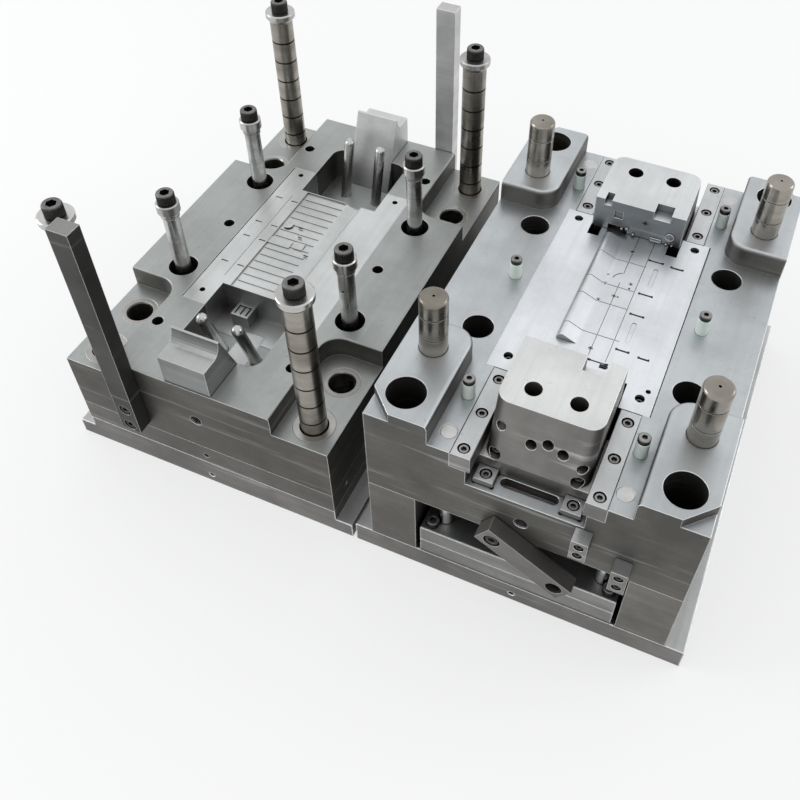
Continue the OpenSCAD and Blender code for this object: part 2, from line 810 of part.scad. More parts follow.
// The spacers leave room for the other half's support pins and puller heads
module spacer_block() {
    difference() {
        span([plate_w / 2 - spacer_w, -plate_l / 2, core_clamp_t], [plate_w / 2, plate_l / 2, core_z]);
        for (s = [-1, 1]) translate([support_x, s * support_y, 0])
            rod(support_hole_d, max(core_clamp_t + 4, core_top - support_reach - end_gap), core_z + over);
        for (s = [-1, 1]) translate([puller_x, s * puller_y, 0])
            rod(puller_hole_d, min(core_z - 4, core_top - puller_reach - end_gap), core_z + over);
        for (k = [-1:1]) translate([base_screw_x, k * base_screw_y, 0])
            rod(m16[0] + 2 * seat_fit, core_clamp_t - over, core_z + over);
    }
}

module spacer_block_left() color("lightslategray") core_half() mirror([1, 0, 0]) spacer_block();
module spacer_block_right() color("lightslategray") core_half() spacer_block();

// Channel of one slider in the core plate, at the rear
module slider_channel() {
    span([-foot_half - slide_gap, insert_l / 2 - over, floor_z],
        [foot_half + slide_gap, plate_l / 2 + over, core_top + over]);
    span([-gib_x - gib_w - seat_fit, insert_l / 2, gib_z],
        [gib_x + gib_w + seat_fit, plate_l / 2 + over, core_top + over]);
    for (s = [-1, 1]) translate([s * stop_x, stop_in + stop_l / 2, floor_z - stop_sink]) {
        slab(stop_w + 2 * seat_fit, stop_l + 2 * seat_fit, 0, stop_sink + over);
        corners(stop_w / 2 - 1, stop_l / 2 - 1) rod(5, 0, stop_sink + over);
    }
    for (s = [-1, 1]) translate([s * stop_x, stop_in + stop_l / 2, 0])
        rod(m8[0] + 2 * seat_fit, floor_z - stop_sink - small_thread_l - 2, floor_z);
    translate([0, stop_in + 8, floor_z - 15]) linear_extrude(15 + over) {
        square([58, 13], center = true);
        for (s = [-1, 1]) translate([s * 29, 0]) circle(d = 13);
    }
    gib_screw_places() rod(m8[0] + 2 * seat_fit, gib_z - small_thread_l - 2, gib_z + over);
}

module gib_screw_places() {
    for (s = [-1, 1], k = [0:2])
        translate([s * (gib_x + gib_w / 2), gib_start + gib_screw_from + k * gib_screw_pitch, 0]) children();
}

module keeper_screw_places() {
    for (p = [[keeper_near, keeper_near_z, keeper_near_h], [keeper_far, keeper_far_z, keeper_far_h]],
        f = [keeper_screw_share, 1 - keeper_screw_share])
        translate([p[0], plate_l / 2 + keeper_t - m6[2] - head_gap, p[1] + f * p[2]])
            rotate([-90, 0, 0]) children();
}

// The keepers of one latch bar, mirrored to where the bar comes down
module latch_keeper_pair() {
    difference() {
        for (p = [[keeper_near, keeper_near_z, keeper_near_h], [keeper_far, keeper_far_z, keeper_far_h]])
            span([p[0] - keeper_w / 2, plate_l / 2, p[1]],
                [p[0] + keeper_w / 2, plate_l / 2 + keeper_t, p[1] + p[2]]);
        keeper_screw_places() screw_room(m6, keeper_t, m6[2] + head_gap);
    }
}

// Keepers sit on the opposite side of the middle line from the bars
module both_keepers() {
    mirror([1, 0, 0]) children();
    mirror([0, 1, 0]) children();
}

module latch_keepers() color("silver") core_half() both_keepers() latch_keeper_pair();

module keeper_screws() {
    color("#202020") core_half() both_keepers() keeper_screw_places()
        cap_screw(m6, keeper_t - m6[2] - head_gap + keeper_thread_l);
}

module core_plate() {
    color("lightslategray") core_half() difference() {
        union() {
            slab(plate_w, plate_l, core_z, core_top);
            each_quarter() raised_corner();
        }
        corners(guide_x, guide_y) {
            rod(guide_d + 2 * seat_fit, core_z - over, raised_top + over);
            rod(guide_d + 2 * (pin_head_lip + seat_fit), core_z - over, core_z + pin_head_h);
        }
        corners(support_x, support_y) rod(support_hole_d, core_z - over, raised_top + over);
        corners(puller_x, puller_y) rod(puller_hole_d, core_z - over, core_top + over);
        corners(return_x, return_y) rod(return_d + 2 * run_fit, core_z - over, core_top + over);
        slab(insert_w + 2 * seat_fit, insert_l + 2 * seat_fit, core_top - core_insert_t, core_top + over);
        slider_channel();
        at_front() slider_channel();
        friction_places() rod(m8[0] + 2 * seat_fit, core_top - friction_thread_l - 2, core_top + over);
        insert_screw_places()
            rod(m6[0] + 2 * seat_fit, core_top - core_insert_t - small_thread_l - 2, core_top);
        ejector_places() rod(ejector_d + 2, core_z - over, core_top);
        base_screw_places() rod(m16[0] + 2 * seat_fit, core_z - over, core_z + thread_l + 1);
        both_keepers() keeper_screw_places() screw_room(m6, keeper_t + keeper_thread_l, 0);
        side_hole(lift_d, lift_depth, core_z + 35);
        translate([strap_px, -plate_l / 2 + 26, strap_pz]) rotate([90, 0, 0])
            cylinder(d = m12[0] + 2 * seat_fit, h = 26 + over);
    }
}

module friction_places() {
    corners(friction_x, friction_y) children();
    for (s = [-1, 1]) translate([s * friction_mid, 0, 0]) children();
}

module ejector_places() {
    for (p = ejector_points) translate([p[0], py(p[1]), 0]) children();
}

// Both inserts are held by screws set a little to the rear
module insert_screw_places() {
    for (sx = [-1, 1], sy = [-1, 1])
        translate([sx * insert_screw_x, sy * insert_screw_y + insert_screw_shift, 0]) children();
}

// Notches in the core insert for the two legs of a slider, beside the tongue between them
module nose_notch() {
    for (mx = [0, 1]) mirror([mx, 0, 0]) span([tongue_half, notch_in, floor_z],
        [pocket_half - 0.2, insert_l / 2 + over, core_top + over]);
}

module core_ridge() {
    translate([-channel_x, pocket_in + ridge_past, core_top]) rotate([90, 0, 0])
        linear_extrude(pocket_in + ridge_past - py(ridge_from)) mirror([1, 0])
            ridge_plan(channel_r - part_wall, ridge_foot);
}

module core_insert() {
    color("silver") core_half() difference() {
        union() {
            slab(insert_w, insert_l, core_top - core_insert_t, core_top);
            core_ridge();
        }
        nose_notch();
        at_front() nose_notch();
        insert_screw_places() {
            rod(m6[0] + 2 * seat_fit, core_top - core_insert_t - over, core_top + over);
            rod(m6[1] + 2 * head_gap, core_top - insert_screw_sink, core_top + over);
        }
        ejector_places() rod(ejector_d + 2 * run_fit, core_top - core_insert_t - over, core_top + channel_r);
        span([insert_w / 2 - relief_w, -insert_l / 2 - over, core_top - relief_d],
            [insert_w / 2 + over, insert_l / 2 + over, core_top + over]);
        translate([insert_screw_x + 6.5, py(-123), 0]) rod(6.5, core_top - 8, core_top + over);
        core_seams();
    }
}

// Split lines of the core pieces and the small recesses beside them
module core_seams() {
    for (c = [[6.5, py(-101), py(43)], [6.5, py(62), insert_l / 2 + over],
            [29, py(-99), insert_l / 2 + over]])
        span([c[0] - seam_w / 2, c[1], core_top - seam_d], [c[0] + seam_w / 2, c[2], core_top + over]);
    for (r = [[86, 31], [34, 28], [-1, 29], [-59, 35]])
        span([-channel_x - channel_r + 0.5, py(r[0]) - seam_w / 2, core_top - seam_d],
            [r[1], py(r[0]) + seam_w / 2, core_top + channel_r + over]);
    for (m = [[30, 51, 101.5], [62.5, 76, 99], [35, 52.5, 34], [35, 52, -6.5], [35, 51, -72.7],
            [65, 77, -75.5]])
        span([m[0], py(m[2]) - 1.3, core_top - 2], [m[1], py(m[2]) + 1.3, core_top + over]);
    for (y = [69, -39]) translate([44.5, py(y), core_top - 0.8]) linear_extrude(0.8 + over) {
        square([6, 32], center = true);
        for (s = [-1, 1]) translate([0, 16 * s]) circle(d = 6, $fn = 24);
    }
    span([8, py(-102.5) - 1, core_top - 2], [33, py(-102.5) + 1, core_top + over]);
    span([24, py(-110.5), core_top - 2], [33, py(-104), core_top + over]);
}

module core_insert_screws() {
    color("#202020") core_half() insert_screw_places() translate([0, 0, core_top - insert_screw_sink])
        cap_screw(m6, core_insert_t - insert_screw_sink + small_thread_l);
}

module guide_pins() {
    color("gray") core_half() corners(guide_x, guide_y) translate([0, 0, core_z])
        ground_pin(guide_d, guide_top - core_z,
            [for (k = [1:-1:0]) guide_top - core_z - 26 - k * groove_pitch], 5, 4, 5);
}

module gib(sx) {
    outer = gib_x + gib_w;
    difference() {
        mirror([sx < 0 ? 1 : 0, 0, 0]) translate([0, gib_start + gib_l, 0]) rotate([90, 0, 0])
            linear_extrude(gib_l) polygon([[gib_x, gib_z], [outer, gib_z], [outer, core_top - gib_edge],
                [outer - gib_edge, core_top], [gib_x + gib_edge, core_top], [gib_x, core_top - gib_edge]]);
        gib_screw_places() {
            rod(m8[0] + 2 * seat_fit, gib_z - over, core_top + over);
            rod(m8[1] + 2 * head_gap, core_top - m8[2] - head_gap, core_top + over);
        }
    }
}

module gib_front_left() color("silver") core_half() at_front() gib(-1);
module gib_front_right() color("silver") core_half() at_front() gib(1);
module gib_rear_left() color("silver") core_half() gib(-1);
module gib_rear_right() color("silver") core_half() gib(1);

module gib_screws() {
    color("#202020") core_half() for (my = [0, 1]) mirror([0, my, 0]) gib_screw_places()
        translate([0, 0, core_top - m8[2] - head_gap]) cap_screw(m8, gib_t - m8[2] - head_gap + small_thread_l);
}

module stop_places() {
    for (sx = [-1, 1], sy = [-1, 1])
        translate([sx * stop_x, sy * (stop_in + stop_l / 2), floor_z - stop_sink]) children();
}

module stop_blocks() {
    color("darkgray") core_half() stop_places() difference() {
        slab(stop_w, stop_l, 0, stop_h);
        translate([0, 0, stop_h - m8[2] - head_gap]) screw_room(m8, stop_h, m8[2] + head_gap);
    }
}

module stop_block_screws() {
    color("#202020") core_half() stop_places()
        translate([0, 0, stop_h - m8[2] - head_gap]) cap_screw(m8, stop_h - m8[2] - head_gap + small_thread_l);
}

module friction_pullers() {
    color("honeydew") core_half() friction_places() translate([0, 0, core_top]) rotate_extrude()
        polygon([[m8[0] / 2 + seat_fit, 0], [friction_d / 2, 0], [friction_d / 2, friction_h - 1],
            [friction_d / 2 - 1, friction_h], [m8[0] / 2 + seat_fit, friction_h]]);
}

module friction_puller_screws() {
    color("#202020") core_half() friction_places() translate([0, 0, core_top + friction_h])
        cap_screw(friction_screw, friction_h + friction_thread_l);
}

module ejector_base_plate() {
    color("slategray") core_half() difference() {
        slab(ejector_w, ejector_l, ejector_z, retainer_z);
        rod(m16[0], ejector_z - over, ejector_z + rod_thread_l);
        corners(ejector_screw_x, ejector_screw_y)
            rod(m10[0] + 2 * seat_fit, retainer_z - ejector_thread_l - 2, retainer_z + over);
    }
}

module ejector_retainer_plate() {
    color("slategray") core_half() difference() {
        slab(ejector_w, ejector_l, retainer_z, retainer_top);
        corners(return_x, return_y) {
            rod(return_d + 2 * seat_fit, retainer_z - over, retainer_top + over);
            rod(return_d + 2 * (pin_head_lip + seat_fit), retainer_z - over, retainer_z + pin_head_h);
        }
        ejector_places() {
            rod(ejector_d + 2 * seat_fit, retainer_z - over, retainer_top + over);
            rod(ejector_d + 2 * (2 + seat_fit), retainer_z - over, retainer_z + ejector_head_h);
        }
        corners(ejector_screw_x, ejector_screw_y)
            rod(m10[0] + 2 * seat_fit, retainer_z - over, retainer_top + over);
    }
}

module return_pins() {
    color("gray") core_half() corners(return_x, return_y) {
        rod(return_d, retainer_z, core_top);
        rod(return_d + 2 * pin_head_lip, retainer_z, retainer_z + pin_head_h);
    }
}

module ejector_pins() {
    color("gray") core_half() ejector_places() {
        rod(ejector_d, retainer_z, core_top);
        rod(ejector_d + 4, retainer_z, retainer_z + ejector_head_h);
    }
}

module ejector_screws() {
    color("#202020") core_half() corners(ejector_screw_x, ejector_screw_y)
        translate([0, 0, retainer_top]) cap_screw(m10, retainer_t + ejector_thread_l);
}

// Rounding of a slider's back corner, along its sloping locking face
module slider_corner() {
    r = slider_corner_r;
    down = slider_rise + channel_depth;
    translate([slider_w / 2, slider_back, slider_top]) rotate([wedge_angle, 0, 0]) difference() {
        translate([-r, -r, -down]) cube([r + over, r + over, down + r]);
        translate([-r, -r, -down - over]) cylinder(r = r, h = down + r + 2 * over);
    }
}

// One slider at its moulding place, at the rear
module slider_blank() {
    difference() {
        translate([-slider_w / 2, 0, 0]) rotate([90, 0, 90]) linear_extrude(slider_w) polygon([
            [nose_in, floor_z + slide_gap], [toe_out, floor_z + slide_gap],
            [toe_out, gib_z - slide_gap],
            [slider_back, slider_top], [pocket_in + slide_gap, slider_top],
            [pocket_in + slide_gap, core_top + slide_gap], [nose_in, core_top + slide_gap]]);
        span([-tongue_half - slide_gap, nose_in - over, floor_z],
            [tongue_half + slide_gap, insert_l / 2 + slide_gap, core_top + slide_gap]);
        for (mx = [0, 1]) mirror([mx, 0, 0]) slider_corner();
    }
    span([-foot_half, foot_in, floor_z + slide_gap], [foot_half, toe_out, gib_z - slide_gap]);
}

// Angle pin holes: the mated pin's line, seen from the core half
module slider_pin_holes() {
    for (s = [-1, 1]) translate([s * angle_pin_x, angle_pin_y, slider_top]) rotate([pin_angle, 0, 0])
        translate([0, 0, -slider_rise - channel_depth - 20])
            cylinder(d = angle_hole_d, h = slider_rise + channel_depth + 40);
}

// Screws driven into the sloping face, one in each lower corner
module toe_screw_places() {
    for (s = [-1, 1]) translate([s * toe_screw_x, toe_screw_y, toe_screw_z]) rotate([-90, 0, 0])
        children();
}

module slider_body() {
    difference() {
        slider_blank();
        slider_pin_holes();
        toe_screw_places() screw_room(m8, toe_thread_l + 2, 2 * m8[2]);
        children();
    }
}

module at_rest() translate([0, slider_stroke, 0]) children();

// Hole drilled into the sloping face of a slider
module back_hole(d, y, place) {
    translate([place[0], y, core_top + place[1]]) rotate([-90, 0, 0]) cylinder(d = d, h = slider_rise);
}

module slider_front() {
    color("silver") core_half() at_front() at_rest() slider_body() {
        for (place = [[-10.5, 8.7], [8.2, 15.1], [27, 9.4]]) back_hole(13.5, slider_back - 4, place);
        for (place = [[-48.5, 19], [51.5, -1]]) back_hole(12, slider_back + 4, place);
        span([-block_x - block_w / 2 - slide_gap, pocket_in - over, slider_top - block_h - slide_gap],
            [-block_x + block_w / 2 + slide_gap, pocket_in + block_l + slide_gap, slider_top + over]);
    }
}

// The rear slider's face has two notches, a small window and room for the ridge of the core insert
module slider_rear() {
    face = pocket_in + slide_gap;
    color("silver") core_half() at_rest() slider_body() {
        span([-50, face - over, slider_top - 10], [-40, face + 16, slider_top + over]);
        span([19, face - over, slider_top - 12], [42.7, face + 20, slider_top + over]);
        span([-34, face - over, slider_top - 27.5], [-22, face + 3, slider_top - 15.5]);
        span([-channel_x - channel_r, face - over, core_top], [-channel_x + ridge_foot + part_wall,
            face + ridge_past + part_wall, core_top + channel_r]);
    }
}

module toe_screws() {
    at_rest() toe_screw_places() cap_screw(m8, toe_thread_l);
}

module toe_screws_front() color("#202020") core_half() at_front() toe_screws();
module toe_screws_rear() color("#202020") core_half() toe_screws();

module at_strap() {
    translate([strap_px, -plate_l / 2, strap_pz]) rotate([0, strap_angle, 0]) children();
}

module safety_strap() {
    color("dimgray") core_half() at_strap() difference() {
        span([-strap_end, -strap_t - slide_gap, -strap_w / 2],
            [strap_l - strap_end, -slide_gap, strap_w / 2]);
        for (x = [0, strap_l - 2 * strap_end]) translate([x, 0, 0]) rotate([90, 0, 0]) {
            cylinder(d = strap_shoulder + 2 * run_fit, h = strap_t + 2);
            translate([0, 0, strap_t + slide_gap - m12[2] - head_gap])
                cylinder(d = m12[1] + 3, h = m12[2] + head_gap + 2);
        }
    }
}

module strap_bolt() {
    shoulder = strap_t - m12[2] - head_gap + 2 * slide_gap;
    color("#202020") core_half() at_strap() rotate([90, 0, 0]) {
        translate([0, 0, shoulder]) cap_screw(m12, shoulder + 24);
        cylinder(d = strap_shoulder, h = shoulder);
    }
}

cavity_clamp_plate();
sprue_bush();
support_pins();
stop_collars();
stop_screws();
runner_plate();
puller_sleeves();
puller_screws();
runner_limit_bolts();
cavity_plate();
cavity_insert();
cavity_core_block();
guide_bushes();
support_pin_bushes();
heel_block_front();
heel_block_rear();
angle_pins_front();
angle_pins_rear();
latch_bar_front();
latch_bar_rear();
latch_bar_screws();
core_clamp_plate();
spacer_block_left();
spacer_block_right();
core_plate();
core_insert();
core_insert_screws();
guide_pins();
gib_front_left();
gib_front_right();
gib_rear_left();
gib_rear_right();
gib_screws();
stop_blocks();
stop_block_screws();
friction_pullers();
friction_puller_screws();
latch_keepers();
keeper_screws();
base_screws();
ejector_base_plate();
ejector_retainer_plate();
return_pins();
ejector_pins();
ejector_screws();
slider_front();
slider_rear();
toe_screws_front();
toe_screws_rear();
safety_strap();
strap_bolt();
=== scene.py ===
# %% [markdown]
# # An opened injection mould
# The object is a steel mould for plastic parts, opened and laid down as two halves. The cavity
# half is on the left, with tall support pins, and the core half is on the right, with two sliders.
# Its solids are already made to size, so this scene loads them and gives each steel its finish.

# %% Load the solids
import math
import bmesh
import bpy
from mathutils import Matrix, Vector


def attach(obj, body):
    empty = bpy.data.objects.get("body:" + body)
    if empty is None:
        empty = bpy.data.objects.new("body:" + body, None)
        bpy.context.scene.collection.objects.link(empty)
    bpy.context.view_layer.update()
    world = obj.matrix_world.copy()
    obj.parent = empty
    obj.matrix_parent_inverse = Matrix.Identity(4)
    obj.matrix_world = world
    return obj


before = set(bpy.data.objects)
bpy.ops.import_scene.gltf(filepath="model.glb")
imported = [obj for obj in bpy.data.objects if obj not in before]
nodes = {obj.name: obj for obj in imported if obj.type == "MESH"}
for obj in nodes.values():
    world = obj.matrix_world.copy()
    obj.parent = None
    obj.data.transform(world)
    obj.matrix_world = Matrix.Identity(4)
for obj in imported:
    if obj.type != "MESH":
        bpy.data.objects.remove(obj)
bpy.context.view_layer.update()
bpy.ops.object.select_all(action="DESELECT")

# %% [markdown]
# ## The camera
# The photograph looks down on the mould from the front right. The camera was worked out from
# points whose places on the mould are known, such as pins and plate corners. A camera needs three
# directions: where its own right, up and back point. A small lens shift places the picture.

# %% Camera at the photograph's viewpoint
PICTURE = 800.0  # width and height in pixels
SENSOR = 36.0  # width in millimetres
FOCAL_LENGTH = 933.148  # in pixels
AHEAD_ACROSS, AHEAD_DOWN = 442.634, 334.808  # the pixel that lies straight ahead of the lens
CAMERA_AT = Vector((0.362375, -0.865048, 1.138768))
CAMERA_RIGHT = Vector((0.9175, 0.3976, 0.0112))
CAMERA_FORWARD = Vector((-0.26078, 0.62246, -0.73793))
right = CAMERA_RIGHT.normalized()
back = -CAMERA_FORWARD.normalized()
up = back.cross(right).normalized()
right = up.cross(back)
lens = bpy.data.cameras.new("photo_camera")
lens.sensor_width = SENSOR
lens.lens = SENSOR * FOCAL_LENGTH / PICTURE
lens.shift_x = (PICTURE / 2 - AHEAD_ACROSS) / PICTURE
lens.shift_y = (AHEAD_DOWN - PICTURE / 2) / PICTURE
camera = bpy.data.objects.new("photo_camera", lens)
bpy.context.scene.collection.objects.link(camera)
turn = Matrix((right, up, back)).transposed().to_4x4()
camera.matrix_world = Matrix.Translation(CAMERA_AT) @ turn
bpy.context.scene.camera = camera
print("lens", round(lens.lens, 2), "mm, shift", round(lens.shift_x, 4), round(lens.shift_y, 4))

# %% [markdown]
# ## Floor, sky and lamps
# The mould lies on a plain white ground. The floor takes the object's shadow, and the sky is
# white to the camera and in reflections, because polished steel mostly shows what is around it.
# The sky alone gives a plain level at which steel renders about as bright as its own colour.
# Two low lamps at the sides only add an upright shine to the pins, as workshop windows do.

# %% Node helpers
def join(tree, source, target):
    """Links one socket to another and returns the target's node."""
    tree.links.new(source, target)
    return target.node


def add(tree, kind, **values):
    """Adds a shader node, sets its properties by name and its inputs by number or socket name."""
    node = tree.nodes.new("ShaderNode" + kind)
    for key, value in values.items():
        if key.startswith("in_"):
            name = key[3:]
            node.inputs[int(name) if name.isdigit() else name].default_value = value
        else:
            setattr(node, key, value)
    return node


def looked_at(tree):
    """A socket that is 1 for rays from the camera or off a gloss, and 0 for all others."""
    rays = add(tree, "LightPath")
    either = add(tree, "Math", operation="MAXIMUM")
    join(tree, rays.outputs["Is Camera Ray"], either.inputs[0])
    join(tree, rays.outputs["Is Glossy Ray"], either.inputs[1])
    return either.outputs[0]


def blend(tree, factor, first, second):
    """A shader between two shaders, by a factor socket."""
    blender = add(tree, "MixShader")
    for place, socket in enumerate((factor, first, second)):
        join(tree, socket, blender.inputs[place])
    return blender.outputs[0]


# %% Sky
WHITE = (1.0, 1.0, 1.0, 1.0)
SKY_COLOUR = (0.97, 0.985, 1.0, 1.0)
SKY_LEVEL = 0.85
world = bpy.data.worlds.new("pale_sky")
bpy.context.scene.world = world
world.use_nodes = True
sky = world.node_tree
sky.nodes.clear()
with_glass = add(sky, "Math", operation="MAXIMUM")
join(sky, looked_at(sky), with_glass.inputs[0])
join(sky, add(sky, "LightPath").outputs["Is Transmission Ray"], with_glass.inputs[1])
plain_light = add(sky, "Background", in_Color=SKY_COLOUR, in_Strength=SKY_LEVEL)
white_ground = add(sky, "Background", in_Color=WHITE, in_Strength=1.0)
seen_sky = blend(sky, with_glass.outputs[0], plain_light.outputs[0], white_ground.outputs[0])
join(sky, seen_sky, add(sky, "OutputWorld").inputs["Surface"])

# %% Floor
FLOOR_SIZE = 9.0
FLOOR_DROP = 0.0004  # a hair below the mould, so that the two don't share a face
FLOOR_COLOUR = (0.93, 0.93, 0.93, 1)
FLOOR_GLOW = 0.6  # the share of plain white, which keeps the ground as pale as in the photograph
bpy.ops.mesh.primitive_plane_add(size=FLOOR_SIZE, location=(0.0, 0.0, -FLOOR_DROP))
floor = bpy.context.object
floor.name = "floor"
floor_paint = bpy.data.materials.new("floor_white")
floor_paint.use_nodes = True
ground = floor_paint.node_tree
matt = ground.nodes["Principled BSDF"]
matt.inputs["Base Color"].default_value = FLOOR_COLOUR
matt.inputs["Roughness"].default_value = 0.9
part_white = add(ground, "Math", operation="MULTIPLY", in_1=FLOOR_GLOW)
join(ground, looked_at(ground), part_white.inputs[0])
paper = add(ground, "Emission", in_Color=WHITE, in_Strength=1.0)
seen_floor = blend(ground, part_white.outputs[0], matt.outputs[0], paper.outputs[0])
join(ground, seen_floor, ground.nodes["Material Output"].inputs["Surface"])
floor.data.materials.append(floor_paint)
bpy.ops.object.select_all(action="DESELECT")

# %% Lamps
LIT_POINT = Vector((0, 0, 0.2))  # the middle of the mould


def soft_lamp(name, place, size, power):
    """A square area lamp that points at the middle of the mould."""
    data = bpy.data.lights.new(name, "AREA")
    data.shape = "SQUARE"
    data.size = size
    data.energy = power
    lamp = bpy.data.objects.new(name, data)
    bpy.context.scene.collection.objects.link(lamp)
    lamp.location = place
    lamp.rotation_euler = (LIT_POINT - Vector(place)).to_track_quat("-Z", "Y").to_euler()


soft_lamp("window_lamp", (-3.0, -1.0, 1.3), 1.6, 30)
soft_lamp("door_lamp", (2.8, 1.6, 1.5), 1.4, 14)
bpy.context.scene.view_settings.view_transform = "Standard"

# %% [markdown]
# ## Shared surface effects
# Five effects come back on most of the steel, so each is a node group that is built once.
# Edges of machined blocks are broken with a file or a chamfer; a mask along them carries a painted
# highlight. Seams and holes get a mask for painted shade. Grinding leaves fine lines that run one
# way. Handling leaves faint clouds. A plate's top is ground while its sides are only milled: a mask
# made from the direction of the surface tells the two apart, and with it the sides are painted
# darker, partly for the milled skin and partly as painted shade.

# %% Group helper
def effect(name, inputs, outputs):
    """A new shader node group with float inputs and the named outputs."""
    group = bpy.data.node_groups.new(name, "ShaderNodeTree")
    for label, start in inputs:
        socket = group.interface.new_socket(label, in_out="INPUT", socket_type="NodeSocketFloat")
        socket.default_value = start
    for label, kind in outputs:
        group.interface.new_socket(label, in_out="OUTPUT", socket_type="NodeSocket" + kind)
    return group, group.nodes.new("NodeGroupInput"), group.nodes.new("NodeGroupOutput")


def use(tree, group, **values):
    """Places an effect in a material and sets its inputs."""
    node = tree.nodes.new("ShaderNodeGroup")
    node.node_tree = group
    for label, value in values.items():
        node.inputs[label.replace("_", " ")].default_value = value
    return node


# %% Broken edges: rounded shading and a mask for a painted highlight
bevel_and_highlight_edges, e_in, e_out = effect("bevel_and_highlight_edges", [("Width", 0.0015)],
                                   [("Edge", "Float"), ("Normal", "Vector")])
rounded = add(bevel_and_highlight_edges, "Bevel", samples=6)
join(bevel_and_highlight_edges, e_in.outputs["Width"], rounded.inputs["Radius"])
flat = add(bevel_and_highlight_edges, "NewGeometry")
agree = add(bevel_and_highlight_edges, "VectorMath", operation="DOT_PRODUCT")
join(bevel_and_highlight_edges, rounded.outputs["Normal"], agree.inputs[0])
join(bevel_and_highlight_edges, flat.outputs["Normal"], agree.inputs[1])
edge_highlight_level = add(bevel_and_highlight_edges, "MapRange", in_1=0.995, in_2=0.80, in_3=0.0, in_4=1.0)
join(bevel_and_highlight_edges, agree.outputs["Value"], edge_highlight_level.inputs[0])
join(bevel_and_highlight_edges, edge_highlight_level.outputs[0], e_out.inputs["Edge"])
join(bevel_and_highlight_edges, rounded.outputs["Normal"], e_out.inputs["Normal"])

# %% Painted shade in seams and holes
seam_and_hole_shade, o_in, o_out = effect("seam_and_hole_shade", [("Reach", 0.0025), ("Hole Reach", 0.030)],
                               [("Seam", "Float"), ("Hole", "Float"), ("Open", "Float")])
near = add(seam_and_hole_shade, "AmbientOcclusion", samples=8)
join(seam_and_hole_shade, o_in.outputs["Reach"], near.inputs["Distance"])
far = add(seam_and_hole_shade, "AmbientOcclusion", samples=6)
join(seam_and_hole_shade, o_in.outputs["Hole Reach"], far.inputs["Distance"])
# Seam and Hole are masks for painted shade where the surface is enclosed; Open marks where it
# stands free.
for source, start, end, low, high, label in (
        (near, 0.42, 0.80, 1.0, 0.0, "Seam"), (far, 0.05, 0.42, 1.0, 0.0, "Hole"),
        (near, 0.70, 0.97, 0.0, 1.0, "Open")):
    ramp = add(seam_and_hole_shade, "MapRange", in_1=start, in_2=end, in_3=low, in_4=high)
    join(seam_and_hole_shade, source.outputs["AO"], ramp.inputs[0])
    join(seam_and_hole_shade, ramp.outputs[0], o_out.inputs[label])

# %% Top faces
top_faces, _, t_out = effect("top_faces", [], [("Top", "Float")])
facing = add(top_faces, "TexCoord")
split = add(top_faces, "SeparateXYZ")
join(top_faces, facing.outputs["Normal"], split.inputs[0])
upward = add(top_faces, "MapRange", in_1=0.55, in_2=0.85, in_3=0.0, in_4=1.0)
join(top_faces, split.outputs["Z"], upward.inputs[0])
join(top_faces, upward.outputs[0], t_out.inputs["Top"])

# %% Grinding lines
grinding, g_in, g_out = effect("grinding_lines", [("Top", 1.0)],
                               [("Height", "Float"), ("Streak", "Float")])
where = add(grinding, "TexCoord")


def lines(scale, detail):
    """Noise stretched by a scale in each direction of the object."""
    stretch = add(grinding, "Mapping", in_Scale=scale)
    join(grinding, where.outputs["Object"], stretch.inputs["Vector"])
    noise = add(grinding, "TexNoise", in_Scale=1.0, in_Detail=detail, in_Roughness=0.6)
    join(grinding, stretch.outputs[0], noise.inputs["Vector"])
    return noise.outputs[0]


fine_lines = lines((14.0, 14.0, 900.0), 3.0), lines((1100.0, 9.0, 1.0), 4.0)
broad_lines = lines((5.0, 5.0, 90.0), 3.0), lines((120.0, 3.0, 1.0), 3.0)
for label, (on_sides, on_top) in (("Height", fine_lines), ("Streak", broad_lines)):
    choose = add(grinding, "Mix", data_type="FLOAT")
    join(grinding, g_in.outputs["Top"], choose.inputs[0])
    join(grinding, on_sides, choose.inputs[2])
    join(grinding, on_top, choose.inputs[3])
    join(grinding, choose.outputs[0], g_out.inputs[label])

# %% Clouds of oil and handling
clouds, c_in, c_out = effect("oil_clouds", [("Size", 9.0)],
                             [("Cloud", "Float"), ("Speck", "Float")])
spot = add(clouds, "TexCoord")
soft = add(clouds, "TexNoise", in_Detail=5.0, in_Roughness=0.62)
join(clouds, spot.outputs["Object"], soft.inputs["Vector"])
join(clouds, c_in.outputs["Size"], soft.inputs["Scale"])
join(clouds, soft.outputs[0], c_out.inputs["Cloud"])
small = add(clouds, "TexNoise", in_Scale=240.0, in_Detail=2.0)
join(clouds, spot.outputs["Object"], small.inputs["Vector"])
speck = add(clouds, "MapRange", in_1=0.66, in_2=0.78, in_3=0.0, in_4=1.0)
join(clouds, small.outputs[0], speck.inputs[0])
join(clouds, speck.outputs[0], c_out.inputs["Speck"])


# %% [markdown]
# ## Ground and milled steel
# Every plate and block is one kind of steel with different care: the parting faces are ground
# bright, and the sides are painted darker, partly for a browner milled skin and partly as painted
# shade. One maker function mixes the two colours with the top mask, adds the lines as a fine bump,
# darkens the clouds, puts painted shade into seams and holes and a painted highlight on the broken
# edges. Metallic stays high, so the white surroundings do the rest of the shading.

# %% Steel maker
def mixed(tree, factor, low, high):
    """A colour between two colours, by a factor socket."""
    node = add(tree, "Mix", data_type="RGBA")
    join(tree, factor, node.inputs[0])
    for place, value in ((6, low), (7, high)):
        if isinstance(value, tuple):
            node.inputs[place].default_value = (*value, 1.0)
        else:
            join(tree, value, node.inputs[place])
    return node.outputs[2]


def between(tree, factor, low, high, start=0.0, end=1.0):
    """A number between two numbers, by a factor socket."""
    node = add(tree, "MapRange", in_1=start, in_2=end, in_3=low, in_4=high)
    join(tree, factor, node.inputs[0])
    return node.outputs[0]


